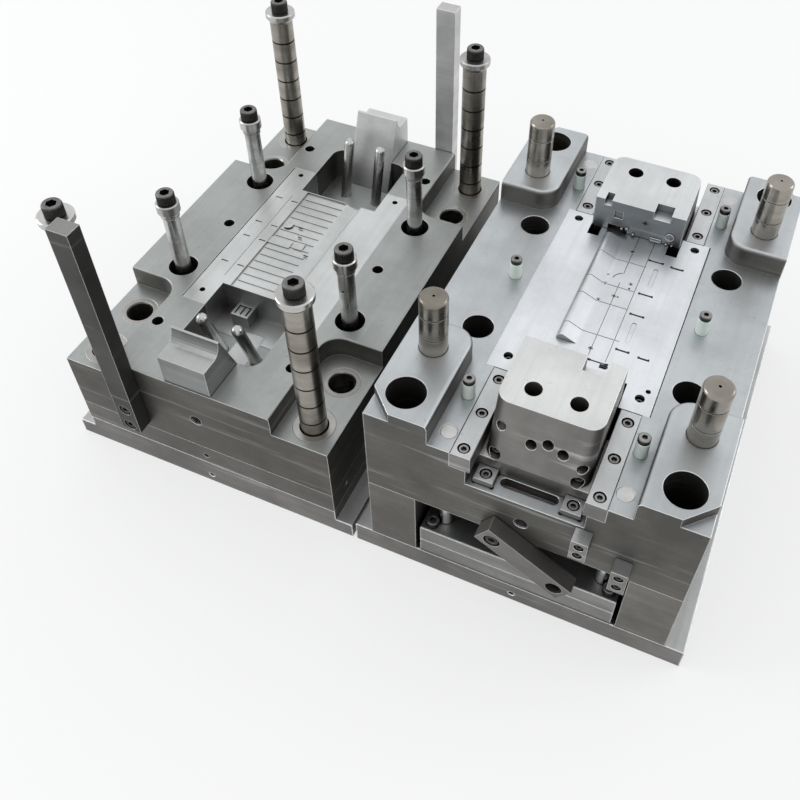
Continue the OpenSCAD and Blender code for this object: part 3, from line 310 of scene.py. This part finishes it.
# Painted shade for seams, corners and grooves; for holes a rust brown that also stands for painted
# shade.
CREVICE_SHADE = (0.030, 0.027, 0.025)
HOLE_RUST_AND_SHADE = (0.060, 0.032, 0.026)
DULL_SIDE, DULL_TOP = 0.66, 0.80  # how much of its colour steel keeps under a cloud


def with_hollow_shade(tree, colour, seams, strength=0.88):
    """The colour with painted shade in its seams and corners, and a rust brown deepened by painted
    shade down its holes.
    """
    deep = mixed(tree, between(tree, seams.outputs["Hole"], 0.0, 0.92), colour, HOLE_RUST_AND_SHADE)
    return mixed(tree, between(tree, seams.outputs["Seam"], 0.0, strength), deep, CREVICE_SHADE)


def edge_highlight_of(tree, bevel_and_highlight, seams, strength):
    """How strong the painted highlight on an edge is: only where it stands free, not in a corner.
    """
    free = add(tree, "Math", operation="MULTIPLY")
    join(tree, bevel_and_highlight.outputs["Edge"], free.inputs[0])
    join(tree, seams.outputs["Open"], free.inputs[1])
    return between(tree, free.outputs[0], 0.0, strength)


def steel(name, top, side, top_rough, side_rough, edge_width=0.0014, streak=0.5, edge_highlight_level=0.85,
          hollow_shade_level=0.88):
    """Ground steel: bright lined tops, sides painted darker, partly as painted shade, and painted
    highlights on broken edges.
    """
    paint = bpy.data.materials.new(name)
    paint.use_nodes = True
    tree = paint.node_tree
    shader = tree.nodes["Principled BSDF"]
    shader.inputs["Metallic"].default_value = 1.0
    up_mask = use(tree, top_faces).outputs["Top"]
    ground = use(tree, grinding)
    join(tree, up_mask, ground.inputs["Top"])
    cloudy = use(tree, clouds)
    bevel_and_highlight = use(tree, bevel_and_highlight_edges, Width=edge_width)
    seams = use(tree, seam_and_hole_shade)
    # The sides are painted darker than the tops: partly a milled skin, partly painted shade.
    base = mixed(tree, up_mask, side, top)
    dull_side, dull_top = (tuple(DULL_SIDE * c for c in side), tuple(DULL_TOP * c for c in top))
    dull = mixed(tree, up_mask, dull_side, dull_top)
    clouded = mixed(tree, between(tree, cloudy.outputs["Cloud"], 0.0, 1.0, 0.40, 0.68), base, dull)
    dark_lines = between(tree, ground.outputs["Streak"], 0.0, streak, 0.45, 0.75)
    streaked = mixed(tree, dark_lines, clouded, dull)
    light_lines = between(tree, ground.outputs["Streak"], 0.0, streak, 0.40, 0.22)
    lit_line = mixed(tree, light_lines, streaked, top)
    specked = mixed(tree, between(tree, cloudy.outputs["Speck"], 0.0, 0.30), lit_line, side)
    # A painted highlight along the free edges.
    edge_highlight_colour = tuple(min(1.0, 1.15 * c + 0.34) for c in top)
    highlighted = mixed(tree, edge_highlight_of(tree, bevel_and_highlight, seams, edge_highlight_level), specked, edge_highlight_colour)
    join(tree, with_hollow_shade(tree, highlighted, seams, hollow_shade_level), shader.inputs["Base Color"])
    plain = add(tree, "Mix", data_type="FLOAT", in_2=side_rough, in_3=top_rough)
    join(tree, up_mask, plain.inputs[0])
    varied = add(tree, "Math", operation="MULTIPLY_ADD", in_1=0.16)
    join(tree, cloudy.outputs["Cloud"], varied.inputs[0])
    join(tree, plain.outputs[0], varied.inputs[2])
    join(tree, varied.outputs[0], shader.inputs["Roughness"])
    bump = add(tree, "Bump", in_Strength=0.18, in_Distance=0.0002)
    join(tree, ground.outputs["Height"], bump.inputs["Height"])
    join(tree, bevel_and_highlight.outputs["Normal"], bump.inputs["Normal"])
    join(tree, bump.outputs[0], shader.inputs["Normal"])
    return paint


# %% Steel finishes
def plate(name, top, side, top_rough, side_rough, **more):
    """Steel for a large plate, whose edges are filed a little wider."""
    return steel(name, top, side, top_rough, side_rough, 0.0018, **more)


cavity_plate_steel = plate("cavity_plate_steel", (0.41, 0.43, 0.425), (0.130, 0.125, 0.115),
                           0.32, 0.42)
core_plate_steel = plate("core_plate_steel", (0.55, 0.58, 0.60), (0.150, 0.146, 0.135),
                         0.30, 0.42)
runner_plate_steel = plate("runner_plate_steel", (0.40, 0.41, 0.41), (0.155, 0.15, 0.14),
                           0.34, 0.40)
spacer_steel = plate("spacer_steel", (0.40, 0.40, 0.39), (0.20, 0.193, 0.18), 0.36, 0.42)
clamp_plate_steel = steel("clamp_plate_steel", (0.52, 0.53, 0.53), (0.23, 0.225, 0.215),
                          0.34, 0.40, 0.0034, streak=0.8, edge_highlight_level=1.0)
ejector_plate_steel = steel("ejector_plate_steel", (0.34, 0.35, 0.35), (0.29, 0.29, 0.28),
                            0.34, 0.34, 0.0040, streak=0.9, edge_highlight_level=1.0)
cavity_insert_steel = steel("cavity_insert_steel", (0.64, 0.66, 0.66), (0.32, 0.325, 0.32),
                            0.27, 0.34, 0.0006, hollow_shade_level=0.30)
core_insert_steel = steel("core_insert_steel", (0.78, 0.81, 0.84), (0.44, 0.45, 0.46),
                          0.25, 0.34, 0.0005)
hard_steel = steel("hard_steel", (0.60, 0.62, 0.63), (0.26, 0.255, 0.245), 0.28, 0.34, 0.0010)
slider_steel = steel("slider_steel", (0.76, 0.77, 0.77), (0.25, 0.24, 0.23), 0.28, 0.36)
rear_slider_steel = steel("rear_slider_steel", (0.70, 0.72, 0.73), (0.26, 0.275, 0.285), 0.28, 0.36)
# The heel blocks and the latch bars each come as a shaded copy and a lit copy of one steel: painted
# shade on the front ones, painted light on the rear ones.
shaded_heel_steel = steel("shaded_heel_steel", (0.48, 0.49, 0.49), (0.27, 0.275, 0.275), 0.30, 0.36)
lit_heel_steel = steel("lit_heel_steel", (0.70, 0.71, 0.71), (0.72, 0.73, 0.73), 0.30, 0.36)
shaded_bar_steel = steel("shaded_bar_steel", (0.30, 0.30, 0.29), (0.085, 0.085, 0.08), 0.38, 0.40)
lit_bar_steel = steel("lit_bar_steel", (0.60, 0.60, 0.59), (0.66, 0.665, 0.66), 0.38, 0.40)
strap_steel = steel("strap_steel", (0.20, 0.19, 0.18), (0.23, 0.22, 0.21), 0.40, 0.42)


# %% [markdown]
# ## Turned pins
# Guide pins, support pins and sleeves are turned and polished, so their lines run round them
# and the colour drifts to a warm brown where oil has dried. Stretching noise flat along the
# height makes rings, and the same broken edge mask puts a painted highlight on the rims. The
# support pins' oil grooves are real, but narrow, so painted shade is put into them by height.

# %% Pin maker
RIM_HIGHLIGHT = (0.80, 0.80, 0.79)
FIRST_GROOVE, GROOVE_STEP = 0.367, 0.034


def turned(name, light, dark, rough, grooves=None, edge_width=0.0010):
    """Turned and polished steel, with the height of one oil groove and the step to the next."""
    paint = bpy.data.materials.new(name)
    paint.use_nodes = True
    tree = paint.node_tree
    shader = tree.nodes["Principled BSDF"]
    shader.inputs["Metallic"].default_value = 1.0
    place = add(tree, "TexCoord")
    rings = add(tree, "Mapping", in_Scale=(6.0, 6.0, 1400.0))
    join(tree, place.outputs["Object"], rings.inputs["Vector"])
    fine = add(tree, "TexNoise", in_Scale=1.0, in_Detail=3.0)
    join(tree, rings.outputs[0], fine.inputs["Vector"])
    bands = add(tree, "Mapping", in_Scale=(10.0, 10.0, 34.0))
    join(tree, place.outputs["Object"], bands.inputs["Vector"])
    wide = add(tree, "TexNoise", in_Scale=1.0, in_Detail=4.0, in_Roughness=0.6)
    join(tree, bands.outputs[0], wide.inputs["Vector"])
    bevel_and_highlight = use(tree, bevel_and_highlight_edges, Width=edge_width)
    seams = use(tree, seam_and_hole_shade, Reach=0.0020)
    drift = mixed(tree, between(tree, wide.outputs[0], 0.0, 1.0, 0.38, 0.66), light, dark)
    # A painted highlight on the rims, and painted shade in seams and holes.
    highlighted = mixed(tree, edge_highlight_of(tree, bevel_and_highlight, seams, 0.5), drift, RIM_HIGHLIGHT)
    finish = with_hollow_shade(tree, highlighted, seams)
    if grooves:
        height = add(tree, "SeparateXYZ")
        join(tree, place.outputs["Object"], height.inputs[0])
        first, step = grooves
        from_first = add(tree, "Math", operation="SUBTRACT", in_1=first)
        join(tree, height.outputs["Z"], from_first.inputs[0])
        nearest = add(tree, "Math", operation="WRAP", in_1=step / 2, in_2=-step / 2)
        join(tree, from_first.outputs[0], nearest.inputs[0])
        away = add(tree, "Math", operation="ABSOLUTE")
        join(tree, nearest.outputs[0], away.inputs[0])
        # Painted shade in the narrow oil grooves, by height.
        finish = mixed(tree, between(tree, away.outputs[0], 0.93, 0.0, 0.0010, 0.0019), finish, CREVICE_SHADE)
    join(tree, finish, shader.inputs["Base Color"])
    varied = between(tree, wide.outputs[0], rough - 0.05, rough + 0.12, 0.35, 0.7)
    join(tree, varied, shader.inputs["Roughness"])
    bump = add(tree, "Bump", in_Strength=0.12, in_Distance=0.0001)
    join(tree, fine.outputs[0], bump.inputs["Height"])
    join(tree, bevel_and_highlight.outputs["Normal"], bump.inputs["Normal"])
    join(tree, bump.outputs[0], shader.inputs["Normal"])
    return paint


pin_steel = turned("pin_steel", (0.34, 0.32, 0.285), (0.19, 0.172, 0.146), 0.24)
support_pin_steel = turned("support_pin_steel", (0.36, 0.34, 0.305), (0.235, 0.215, 0.185), 0.30,
                           (FIRST_GROOVE, GROOVE_STEP), 0.0003)
sleeve_steel = turned("sleeve_steel", (0.54, 0.54, 0.53), (0.35, 0.345, 0.33), 0.26)
collar_steel = turned("collar_steel", (0.56, 0.56, 0.55), (0.38, 0.375, 0.36), 0.26)
bright_pin_steel = turned("bright_pin_steel", (0.60, 0.605, 0.60), (0.42, 0.42, 0.41), 0.20)
bush_steel = turned("bush_steel", (0.46, 0.46, 0.45), (0.31, 0.30, 0.28), 0.28)


# %% [markdown]
# ## Black screws and pale nylon
# Socket cap screws are black from the oil bath they are hardened in, with thin grey edges where
# tools rub that also carry a painted highlight, and painted shade in their sockets. The six
# friction
# pullers are natural nylon: pale, a little green and waxy.
# Nylon isn't a metal, so its look comes from a soft base colour and a little light inside it.

# %% Black oxide
# Rubbed edges that also carry a painted highlight, and painted shade for sockets and seams.
RUBBED_EDGE_AND_HIGHLIGHT = (0.45, 0.44, 0.43)
SOCKET_SHADE = (0.010, 0.010, 0.010)


def blackened(name, flank, face, rubbed_edge_highlight):
    """Oil-blackened screw: dark flanks, a face rubbed by tools, rubbed edges with a painted
    highlight, painted shade in the socket.
    """
    paint = bpy.data.materials.new(name)
    paint.use_nodes = True
    tree = paint.node_tree
    shader = tree.nodes["Principled BSDF"]
    shader.inputs["Metallic"].default_value = 0.8
    rubbed_and_highlit_edges = use(tree, bevel_and_highlight_edges, Width=0.0008)
    seams = use(tree, seam_and_hole_shade, Reach=0.0030, Hole_Reach=0.006)
    grime = use(tree, clouds, Size=60.0)
    worn = mixed(tree, use(tree, top_faces).outputs["Top"], flank, face)
    dark = mixed(tree, between(tree, grime.outputs["Cloud"], 0.0, 0.5, 0.4, 0.7), worn, flank)
    # Rubbed edges with a painted highlight, then painted shade in the socket and seams.
    highlighted = mixed(tree, edge_highlight_of(tree, rubbed_and_highlit_edges, seams, rubbed_edge_highlight), dark, RUBBED_EDGE_AND_HIGHLIGHT)
    finish = mixed(tree, seams.outputs["Seam"], highlighted, SOCKET_SHADE)
    join(tree, finish, shader.inputs["Base Color"])
    join(tree, between(tree, grime.outputs["Cloud"], 0.28, 0.5), shader.inputs["Roughness"])
    join(tree, rubbed_and_highlit_edges.outputs["Normal"], shader.inputs["Normal"])
    return paint


black_oxide = blackened("black_oxide", (0.020, 0.020, 0.019), (0.22, 0.218, 0.213), 0.8)
knurl_oxide = blackened("knurl_oxide", (0.010, 0.010, 0.010), (0.11, 0.11, 0.108), 0.55)
rubbed_oxide = blackened("rubbed_oxide", (0.045, 0.043, 0.041), (0.34, 0.34, 0.335), 0.8)
mark_oxide = blackened("mark_oxide", (0.020, 0.020, 0.020), (0.045, 0.045, 0.046), 0.3)

# %% Nylon
nylon = bpy.data.materials.new("natural_nylon")
nylon.use_nodes = True
tree = nylon.node_tree
shader = tree.nodes["Principled BSDF"]
shader.inputs["Subsurface Weight"].default_value = 0.25
shader.inputs["Subsurface Radius"].default_value = (0.006, 0.008, 0.006)
waxy = use(tree, clouds, Size=90.0)
pale_green = mixed(tree, waxy.outputs["Cloud"], (0.62, 0.72, 0.66), (0.74, 0.80, 0.75))
join(tree, pale_green, shader.inputs["Base Color"])
join(tree, between(tree, waxy.outputs["Cloud"], 0.30, 0.48), shader.inputs["Roughness"])

# %% [markdown]
# ## Dress every solid
# Each solid gets the finish of its own kind. The table goes from finish to the names of the
# solids, and a check at the end makes sure that none was forgotten.

# %% Finish table
finishes = {
    cavity_plate_steel: ["cavity_plate"],
    core_plate_steel: ["core_plate"],
    clamp_plate_steel: ["cavity_clamp_plate", "core_clamp_plate"],
    runner_plate_steel: ["runner_plate"],
    spacer_steel: ["spacer_block_left", "spacer_block_right"],
    ejector_plate_steel: ["ejector_base_plate", "ejector_retainer_plate"],
    cavity_insert_steel: ["cavity_insert", "cavity_core_block"],
    core_insert_steel: ["core_insert"],
    hard_steel: ["gib_front_left", "gib_front_right", "gib_rear_left", "gib_rear_right",
                 "stop_blocks", "latch_keepers"],
    slider_steel: ["slider_front"],
    rear_slider_steel: ["slider_rear"],
    shaded_heel_steel: ["heel_block_front"],
    lit_heel_steel: ["heel_block_rear"],
    shaded_bar_steel: ["latch_bar_front"],
    lit_bar_steel: ["latch_bar_rear"],
    strap_steel: ["safety_strap"],
    pin_steel: ["guide_pins"],
    support_pin_steel: ["support_pins"],
    sleeve_steel: ["puller_sleeves"],
    collar_steel: ["stop_collars"],
    bright_pin_steel: ["angle_pins_front", "angle_pins_rear", "return_pins", "ejector_pins"],
    bush_steel: ["guide_bushes", "support_pin_bushes", "sprue_bush"],
    black_oxide: ["stop_screws", "puller_screws", "runner_limit_bolts", "latch_bar_screws",
                  "keeper_screws", "base_screws", "ejector_screws", "strap_bolt"],
    rubbed_oxide: ["core_insert_screws", "gib_screws", "stop_block_screws",
                   "friction_puller_screws", "toe_screws_front", "toe_screws_rear"],
    nylon: ["friction_pullers"],
}
dressed = set()
for paint, names in finishes.items():
    for name in names:
        slots = nodes[name].material_slots
        for place in range(max(1, len(slots))):
            if slots:
                slots[place].material = paint
            else:
                nodes[name].data.materials.append(paint)
        dressed.add(name)
print("solids without a finish:", sorted(set(nodes) - dressed))

# %% [markdown]
# ## Tools for new pieces
# The smallest details are modelled here one by one, on top of the solids. Each starts as a
# primitive at its place, is shaped in edit mode, and gets its bevels from a modifier that is
# applied. In a script nothing can be clicked, so faces and corners are picked by where they are and
# where they point. At the end the place goes into the mesh and the object stays at the origin.

# %% Helpers for new pieces
MM = 0.001
CAVITY_X = -0.22825  # the middle of the cavity half
CORE_X = 0.22825  # the middle of the core half


def begin(name):
    """Names the primitive that was just added and opens it for editing with nothing selected."""
    piece = bpy.context.object
    piece.name = name
    piece.data.name = name
    bpy.ops.object.mode_set(mode="EDIT")
    bpy.ops.mesh.select_mode(type="FACE")
    bpy.ops.mesh.select_all(action="DESELECT")
    return piece


def pick(piece, kind, test):
    """Selects the faces or corners whose place and direction in the piece's frame pass a test."""
    bpy.ops.mesh.select_mode(type=kind)
    bpy.ops.mesh.select_all(action="DESELECT")
    mesh = bmesh.from_edit_mesh(piece.data)
    if kind == "FACE":
        for face in mesh.faces:
            face.select_set(bool(test(face.calc_center_median(), face.normal)))
    else:
        for corner in mesh.verts:
            corner.select_set(bool(test(corner.co, corner.normal)))
        mesh.select_flush(True)
    bmesh.update_edit_mesh(piece.data)


def top(middle, normal):
    """Does this face point along the piece's own Z axis?"""
    return normal.z > 0.9


def ends(middle, normal):
    """Is this one of the two faces across the piece's own X axis?"""
    return abs(normal.x) > 0.9


def face_outwards():
    """Turns every face of the piece outwards."""
    bpy.ops.mesh.select_all(action="SELECT")
    bpy.ops.mesh.normals_make_consistent(inside=False)


def inset_and_push(thickness, step):
    """Insets the picked faces and moves what is left inside by a step."""
    bpy.ops.mesh.inset(thickness=thickness)
    bpy.ops.transform.translate(value=step)


def star_from_disc(piece, waist, depth):
    """Pulls every second corner of an eight-cornered disc in, and gives the star a depth."""
    pick(piece, "VERT", lambda corner, normal: abs(abs(corner.x) - abs(corner.y)) < 0.0004)
    bpy.ops.transform.resize(value=waist, center_override=piece.location)
    bpy.ops.mesh.select_mode(type="FACE")
    bpy.ops.mesh.select_all(action="SELECT")
    bpy.ops.mesh.extrude_region_move(TRANSFORM_OT_translate={"value": depth})
    face_outwards()


def complete(piece, paint, bevel=0.0, segments=2):
    """Leaves edit mode, rounds the edges, puts the place into the mesh and paints the piece."""
    bpy.ops.object.mode_set(mode="OBJECT")
    if bevel > 0:
        soft = piece.modifiers.new("edges", "BEVEL")
        soft.width = bevel
        soft.segments = segments
        soft.limit_method = "ANGLE"
        bpy.ops.object.modifier_apply(modifier="edges")
    bpy.ops.object.transform_apply(location=True, rotation=True, scale=True)
    bpy.ops.object.shade_smooth_by_angle(angle=math.radians(32))
    piece.data.materials.clear()
    piece.data.materials.append(paint)
    bpy.ops.object.select_all(action="DESELECT")
    return piece


def again(piece, name, step, grow=1.0):
    """A copy with its own mesh, moved by a step and sized about its middle, evenly or by axis."""
    sizes = grow if isinstance(grow, tuple) else (grow, grow, grow)
    twin = piece.copy()
    twin.data = piece.data.copy()
    twin.name = name
    twin.data.name = name
    bpy.context.scene.collection.objects.link(twin)
    middle = sum((corner.co for corner in twin.data.vertices), Vector()) / len(twin.data.vertices)
    to_place = Matrix.Translation(middle + Vector(step))
    twin.data.transform(to_place @ Matrix.Diagonal((*sizes, 1.0)) @ Matrix.Translation(-middle))
    return twin


def fasten(pieces, body):
    """Each piece rides on a body, and the names of the first few are printed."""
    for piece in pieces:
        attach(piece, body)
    print(len(pieces), "on", body + ":", ", ".join(piece.name for piece in pieces[:4]))


# %% [markdown]
# ## Knurled screw heads
# The eight large socket screws on the pins and sleeves have a knurl round the head, so that they
# can be started with oily fingers. It could be a bump texture, but its teeth show against the
# light at the outline, so it is a thin ring of real teeth: a cylinder whose two ends are inset and
# bridged into a tube, and every second upright edge pushed outwards.

# %% Knurl rings
STOP_X, STOP_Y = 0.162, 0.263  # a support pin's place, from the middle of its half
PULLER_X, PULLER_Y = 0.135, 0.10647  # a puller's place
STOP_RING_Z = 0.4226
PULLER_DROP = 0.090  # how much lower the pullers' heads stand
RING_CORNERS = 72
RING_RADIUS = 0.01202
TOOTH = 1.045  # how far a tooth reaches, as a share of the radius
bpy.ops.mesh.primitive_cylinder_add(vertices=RING_CORNERS, radius=RING_RADIUS, depth=0.0125,
                                    location=(CAVITY_X - STOP_X, -STOP_Y, STOP_RING_Z))
knurl = begin("stop_screw_knurl_1")
pick(knurl, "FACE", lambda middle, normal: abs(normal.z) > 0.9)
bpy.ops.mesh.inset(thickness=0.0010)
bpy.ops.mesh.bridge_edge_loops()
pick(knurl, "VERT", lambda corner, normal: corner.xy.length > 0.98 * RING_RADIUS
     and round(math.atan2(corner.y, corner.x) / math.tau * RING_CORNERS) % 2 == 1)
bpy.ops.transform.resize(value=(TOOTH, TOOTH, 1.0), center_override=knurl.location)
face_outwards()
complete(knurl, knurl_oxide)
stop_rings = [knurl]
for number, (x, y) in enumerate(((2 * STOP_X, 0), (0, 2 * STOP_Y), (2 * STOP_X, 2 * STOP_Y)), 2):
    stop_rings.append(again(knurl, "stop_screw_knurl_" + str(number), (x, y, 0.0)))
puller_rings = []
for number, (side, end) in enumerate(((-1, -1), (1, -1), (-1, 1), (1, 1)), 1):
    step = (side * PULLER_X + STOP_X, end * PULLER_Y + STOP_Y, -PULLER_DROP)
    puller_rings.append(again(knurl, "puller_screw_knurl_" + str(number), step))
fasten(stop_rings, "base")
fasten(puller_rings, "runner_plate_group")

# %% [markdown]
# ## Threads in the lifting holes
# Each half has a large threaded hole in its front for a lifting eye. The solid has a plain bore,
# so the thread is a ridge that climbs along it: a three-cornered profile and a Screw modifier,
# which sweeps a profile round an axis and along it at once. Its two open ends are closed after.

# %% Threads
THREAD_Y = -0.2985  # just inside the front faces
CAVITY_HOLE_Z, CORE_HOLE_Z = 0.14215, 0.188
THREAD_RADIUS = 0.00845
PITCH = 0.0023
TURNS = 8
bpy.ops.mesh.primitive_circle_add(vertices=3, radius=0.00085, rotation=(math.radians(-90), 0, 0),
                                  location=(CAVITY_X, THREAD_Y, CAVITY_HOLE_Z))
thread = begin("cavity_lifting_thread")
bpy.ops.object.mode_set(mode="OBJECT")
for corner in thread.data.vertices:
    corner.co = Vector((THREAD_RADIUS - corner.co.y * 0.7, 0.0, corner.co.x))
climb = thread.modifiers.new("climb", "SCREW")
climb.axis = "Z"
climb.steps = 40
climb.render_steps = 40
climb.iterations = TURNS
climb.screw_offset = PITCH
bpy.ops.object.modifier_apply(modifier="climb")
bpy.ops.object.mode_set(mode="EDIT")
bpy.ops.mesh.select_all(action="SELECT")
bpy.ops.mesh.remove_doubles(threshold=0.00001)
bpy.ops.mesh.fill_holes(sides=3)
bpy.ops.mesh.normals_make_consistent(inside=False)
complete(thread, runner_plate_steel)
to_core = (CORE_X - CAVITY_X, 0.0, CORE_HOLE_Z - CAVITY_HOLE_Z)
core_thread = again(thread, "core_lifting_thread", to_core)
fasten([thread], "cavity_plate_group")
fasten([core_thread], "base")

# %% [markdown]
# ## Small cores on the rear slider
# The face of the rear slider shapes one end of the plastic part. Round pins make its small holes,
# and a ring, a frame and a star make its raised details. They are bright from polishing and stand
# a few millimetres out of the face. Each is a short cylinder, block or star whose front is inset
# and pushed in or out, and the bevel turns the pins' fronts into domes.

# %% Small cores
FACE_Y = 0.1413  # the rear slider's moulding face
TURN = (math.radians(90), 0, 0)  # lays a piece's own Z axis along the way out of the face

bpy.ops.mesh.primitive_cylinder_add(vertices=28, radius=0.0024, depth=0.0050, rotation=TURN,
                                    location=(CORE_X - 0.013, FACE_Y - 0.0012, 0.287))
pin = begin("slider_core_pin_1")
pick(pin, "FACE", top)
inset_and_push(0.0008, (0, -0.0005, 0))
complete(pin, rear_slider_steel, 0.0006, 3)
cores = [pin]
# Across, up and size of the others. They pass just over the core insert when the slider moves in.
spots = ((-7, -2.0, 0.8), (10, -6.6, 0.8), (56.7, -7.9, 0.7), (64.6, -8.1, 0.6))
for number, (x, z, size) in enumerate(spots, 2):
    cores.append(again(pin, "slider_core_pin_" + str(number), (MM * x, 0.0, MM * z), size))

bpy.ops.mesh.primitive_cylinder_add(vertices=40, radius=0.0060, depth=0.0040, rotation=TURN,
                                    location=(CORE_X + 0.0466, FACE_Y - 0.0008, 0.292))
ring = begin("slider_core_ring")
pick(ring, "FACE", top)
inset_and_push(0.0015, (0, 0.0016, 0))
inset_and_push(0.0021, (0, -0.0011, 0))
cores.append(complete(ring, rear_slider_steel, 0.0003, 2))

bpy.ops.mesh.primitive_cube_add(size=1.0, rotation=TURN, scale=(0.015, 0.0055, 0.0034),
                                location=(CORE_X + 0.0285, FACE_Y - 0.0006, 0.2805))
frame_core = begin("slider_core_frame")
pick(frame_core, "FACE", top)
inset_and_push(0.0013, (0, 0.0016, 0))
cores.append(complete(frame_core, rear_slider_steel, 0.00035, 2))

bpy.ops.mesh.primitive_circle_add(vertices=8, radius=0.0046, fill_type="NGON", rotation=TURN,
                                  location=(CORE_X + 0.010, FACE_Y + 0.0003, 0.3035))
star = begin("slider_core_star")
star_from_disc(star, (0.32, 1.0, 0.32), (0, -0.0012, 0))
cores.append(complete(star, mark_oxide, 0.0002, 1))
fasten(cores, "slider_rear_group")

# %% [markdown]
# ## Marks on the moulding faces
# Star-shaped and oval ejector blades end almost flush in the core insert, and two curved and eight
# straight keys fill its slots. They are seen as small dark shapes. On the cavity insert, three
# keys and one gate plug do the same. Each is a low inlaid head, about a quarter of a millimetre
# proud, in blackened steel. Only the gate plug is bright.

# %% Marks on the core insert
CORE_FACE = 0.2770

bpy.ops.mesh.primitive_circle_add(vertices=8, radius=0.0036, fill_type="NGON",
                                  location=(CORE_X + 0.0054, 0.109, CORE_FACE - 0.0003))
blade = begin("core_blade_star_1")
star_from_disc(blade, (0.34, 0.34, 1.0), (0, 0, 0.00055))
complete(blade, mark_oxide, 0.00012, 1)
blades = [blade, again(blade, "core_blade_star_2", (0.0009, -0.093, 0.0)),
          again(blade, "core_blade_star_3", (0.0003, -0.193, 0.0))]

bpy.ops.mesh.primitive_cylinder_add(vertices=24, radius=0.0016, depth=0.0012,
                                    location=(CORE_X + 0.0207, 0.046, CORE_FACE - 0.0003))
oval = begin("core_blade_oval_1")
pick(oval, "FACE", top)
inset_and_push(0.0005, (0, 0, -0.00015))
complete(oval, mark_oxide, 0.00012, 1)
# Across, along and size of the others, from the first one.
spots = ((0.2, -9, 0.9), (-31.7, -11.6, 0.8), (-31.2, -44.1, 0.9), (-54.7, -23, 1.5),
         (-9.2, -30, 0.8))
for number, (x, y, size) in enumerate(spots, 2):
    blades.append(again(oval, "core_blade_oval_" + str(number), (MM * x, MM * y, 0.0), size))
blades.append(oval)

bpy.ops.mesh.primitive_cube_add(size=1.0, scale=(0.0007, 0.0016, 0.0010),
                                location=(CORE_X - 0.011, 0.053, CORE_FACE - 0.0002))
arc = begin("core_arc_key_1")
pick(arc, "FACE", lambda middle, normal: normal.x > 0.9)
bpy.ops.mesh.spin(steps=14, angle=math.radians(-62), axis=(0, 0, 1),
                  center=(CORE_X - 0.0035, 0.0352, CORE_FACE))
face_outwards()
complete(arc, mark_oxide, 0.00015, 1)
blades += [arc, again(arc, "core_arc_key_2", (0.017, 0.010, 0.0), 0.8)]

bpy.ops.mesh.primitive_cube_add(size=1.0, scale=(0.0130, 0.0020, 0.0012),
                                location=(CORE_X + 0.0405, 0.1016, CORE_FACE - 0.0004))
bar = begin("core_slot_key_1")
pick(bar, "FACE", ends)
bpy.ops.mesh.extrude_region_shrink_fatten(TRANSFORM_OT_shrink_fatten={"value": 0.0016})
bpy.ops.transform.resize(value=(1.0, 2.0, 1.0), center_override=bar.location)
bpy.ops.mesh.extrude_region_shrink_fatten(TRANSFORM_OT_shrink_fatten={"value": 0.0026})
complete(bar, mark_oxide, 0.0002, 1)
blades.append(bar)
# Across, along and length of the others, from the first one.
bars = ((29, -1.7, 0.85), (3.3, -67.7, 0.92), (2.8, -108.0, 0.92), (2.6, -174.0, 0.85),
        (30, -176.6, 0.7), (-20, -204.1, 1.25), (-10.8, -208.6, 0.45))
for number, (x, y, length) in enumerate(bars, 2):
    name = "core_slot_key_" + str(number)
    blades.append(again(bar, name, (MM * x, MM * y, 0.0), (length, 1.0, 1.0)))
fasten(blades, "base")

# %% Marks on the cavity insert
CAVITY_FACE = 0.2070

bpy.ops.mesh.primitive_cube_add(size=1.0, scale=(0.0062, 0.0017, 0.0011),
                                location=(CAVITY_X + 0.016, -0.017, CAVITY_FACE - 0.0003))
key = begin("cavity_key_1")
pick(key, "FACE", ends)
bpy.ops.mesh.extrude_region_shrink_fatten(TRANSFORM_OT_shrink_fatten={"value": 0.0008})
bpy.ops.transform.resize(value=(1.0, 0.35, 1.0), center_override=key.location)
complete(key, mark_oxide, 0.00015, 1)
keys = [key, again(key, "cavity_key_2", (-0.037, 0.051, 0.0)),
        again(key, "cavity_key_3", (-0.028, 0.032, 0.0), 0.9)]

bpy.ops.mesh.primitive_cylinder_add(vertices=40, radius=0.0072, depth=0.0012,
                                    location=(CAVITY_X - 0.0416, 0.0337, CAVITY_FACE - 0.0004))
plug = begin("cavity_gate_plug")
pick(plug, "FACE", top)
inset_and_push(0.0009, (0, 0, -0.00035))
inset_and_push(0.0005, (0, 0, 0.00035))
keys.append(complete(plug, hard_steel, 0.00012, 1))
fasten(keys, "cavity_plate_group")

# %% [markdown]
# ## Wear plate in the front pocket
# The front slider's back rubs on a thin hardened plate that is let into the floor of its pocket,
# between the two angle pins. It is a low block with rounded upright corners, and a shallow oil
# groove is inset into its top.

# %% Wear plate
POCKET_Z = 0.15665  # the middle of the plate's thickness, just at the pocket's floor
bpy.ops.mesh.primitive_cube_add(size=1.0, scale=(0.034, 0.078, 0.0006),
                                location=(CAVITY_X, -0.183, POCKET_Z))
wear = begin("pocket_wear_plate")
mesh = bmesh.from_edit_mesh(wear.data)
bpy.ops.mesh.select_mode(type="EDGE")
for line in mesh.edges:
    line.select_set(abs((line.verts[0].co - line.verts[1].co).normalized().z) > 0.9)
bmesh.update_edit_mesh(wear.data)
bpy.ops.mesh.bevel(offset=0.006, segments=6)
pick(wear, "FACE", top)
bpy.ops.mesh.inset(thickness=0.0022)
inset_and_push(0.0008, (0, 0, -0.00012))
complete(wear, hard_steel)
fasten([wear], "cavity_plate_group")
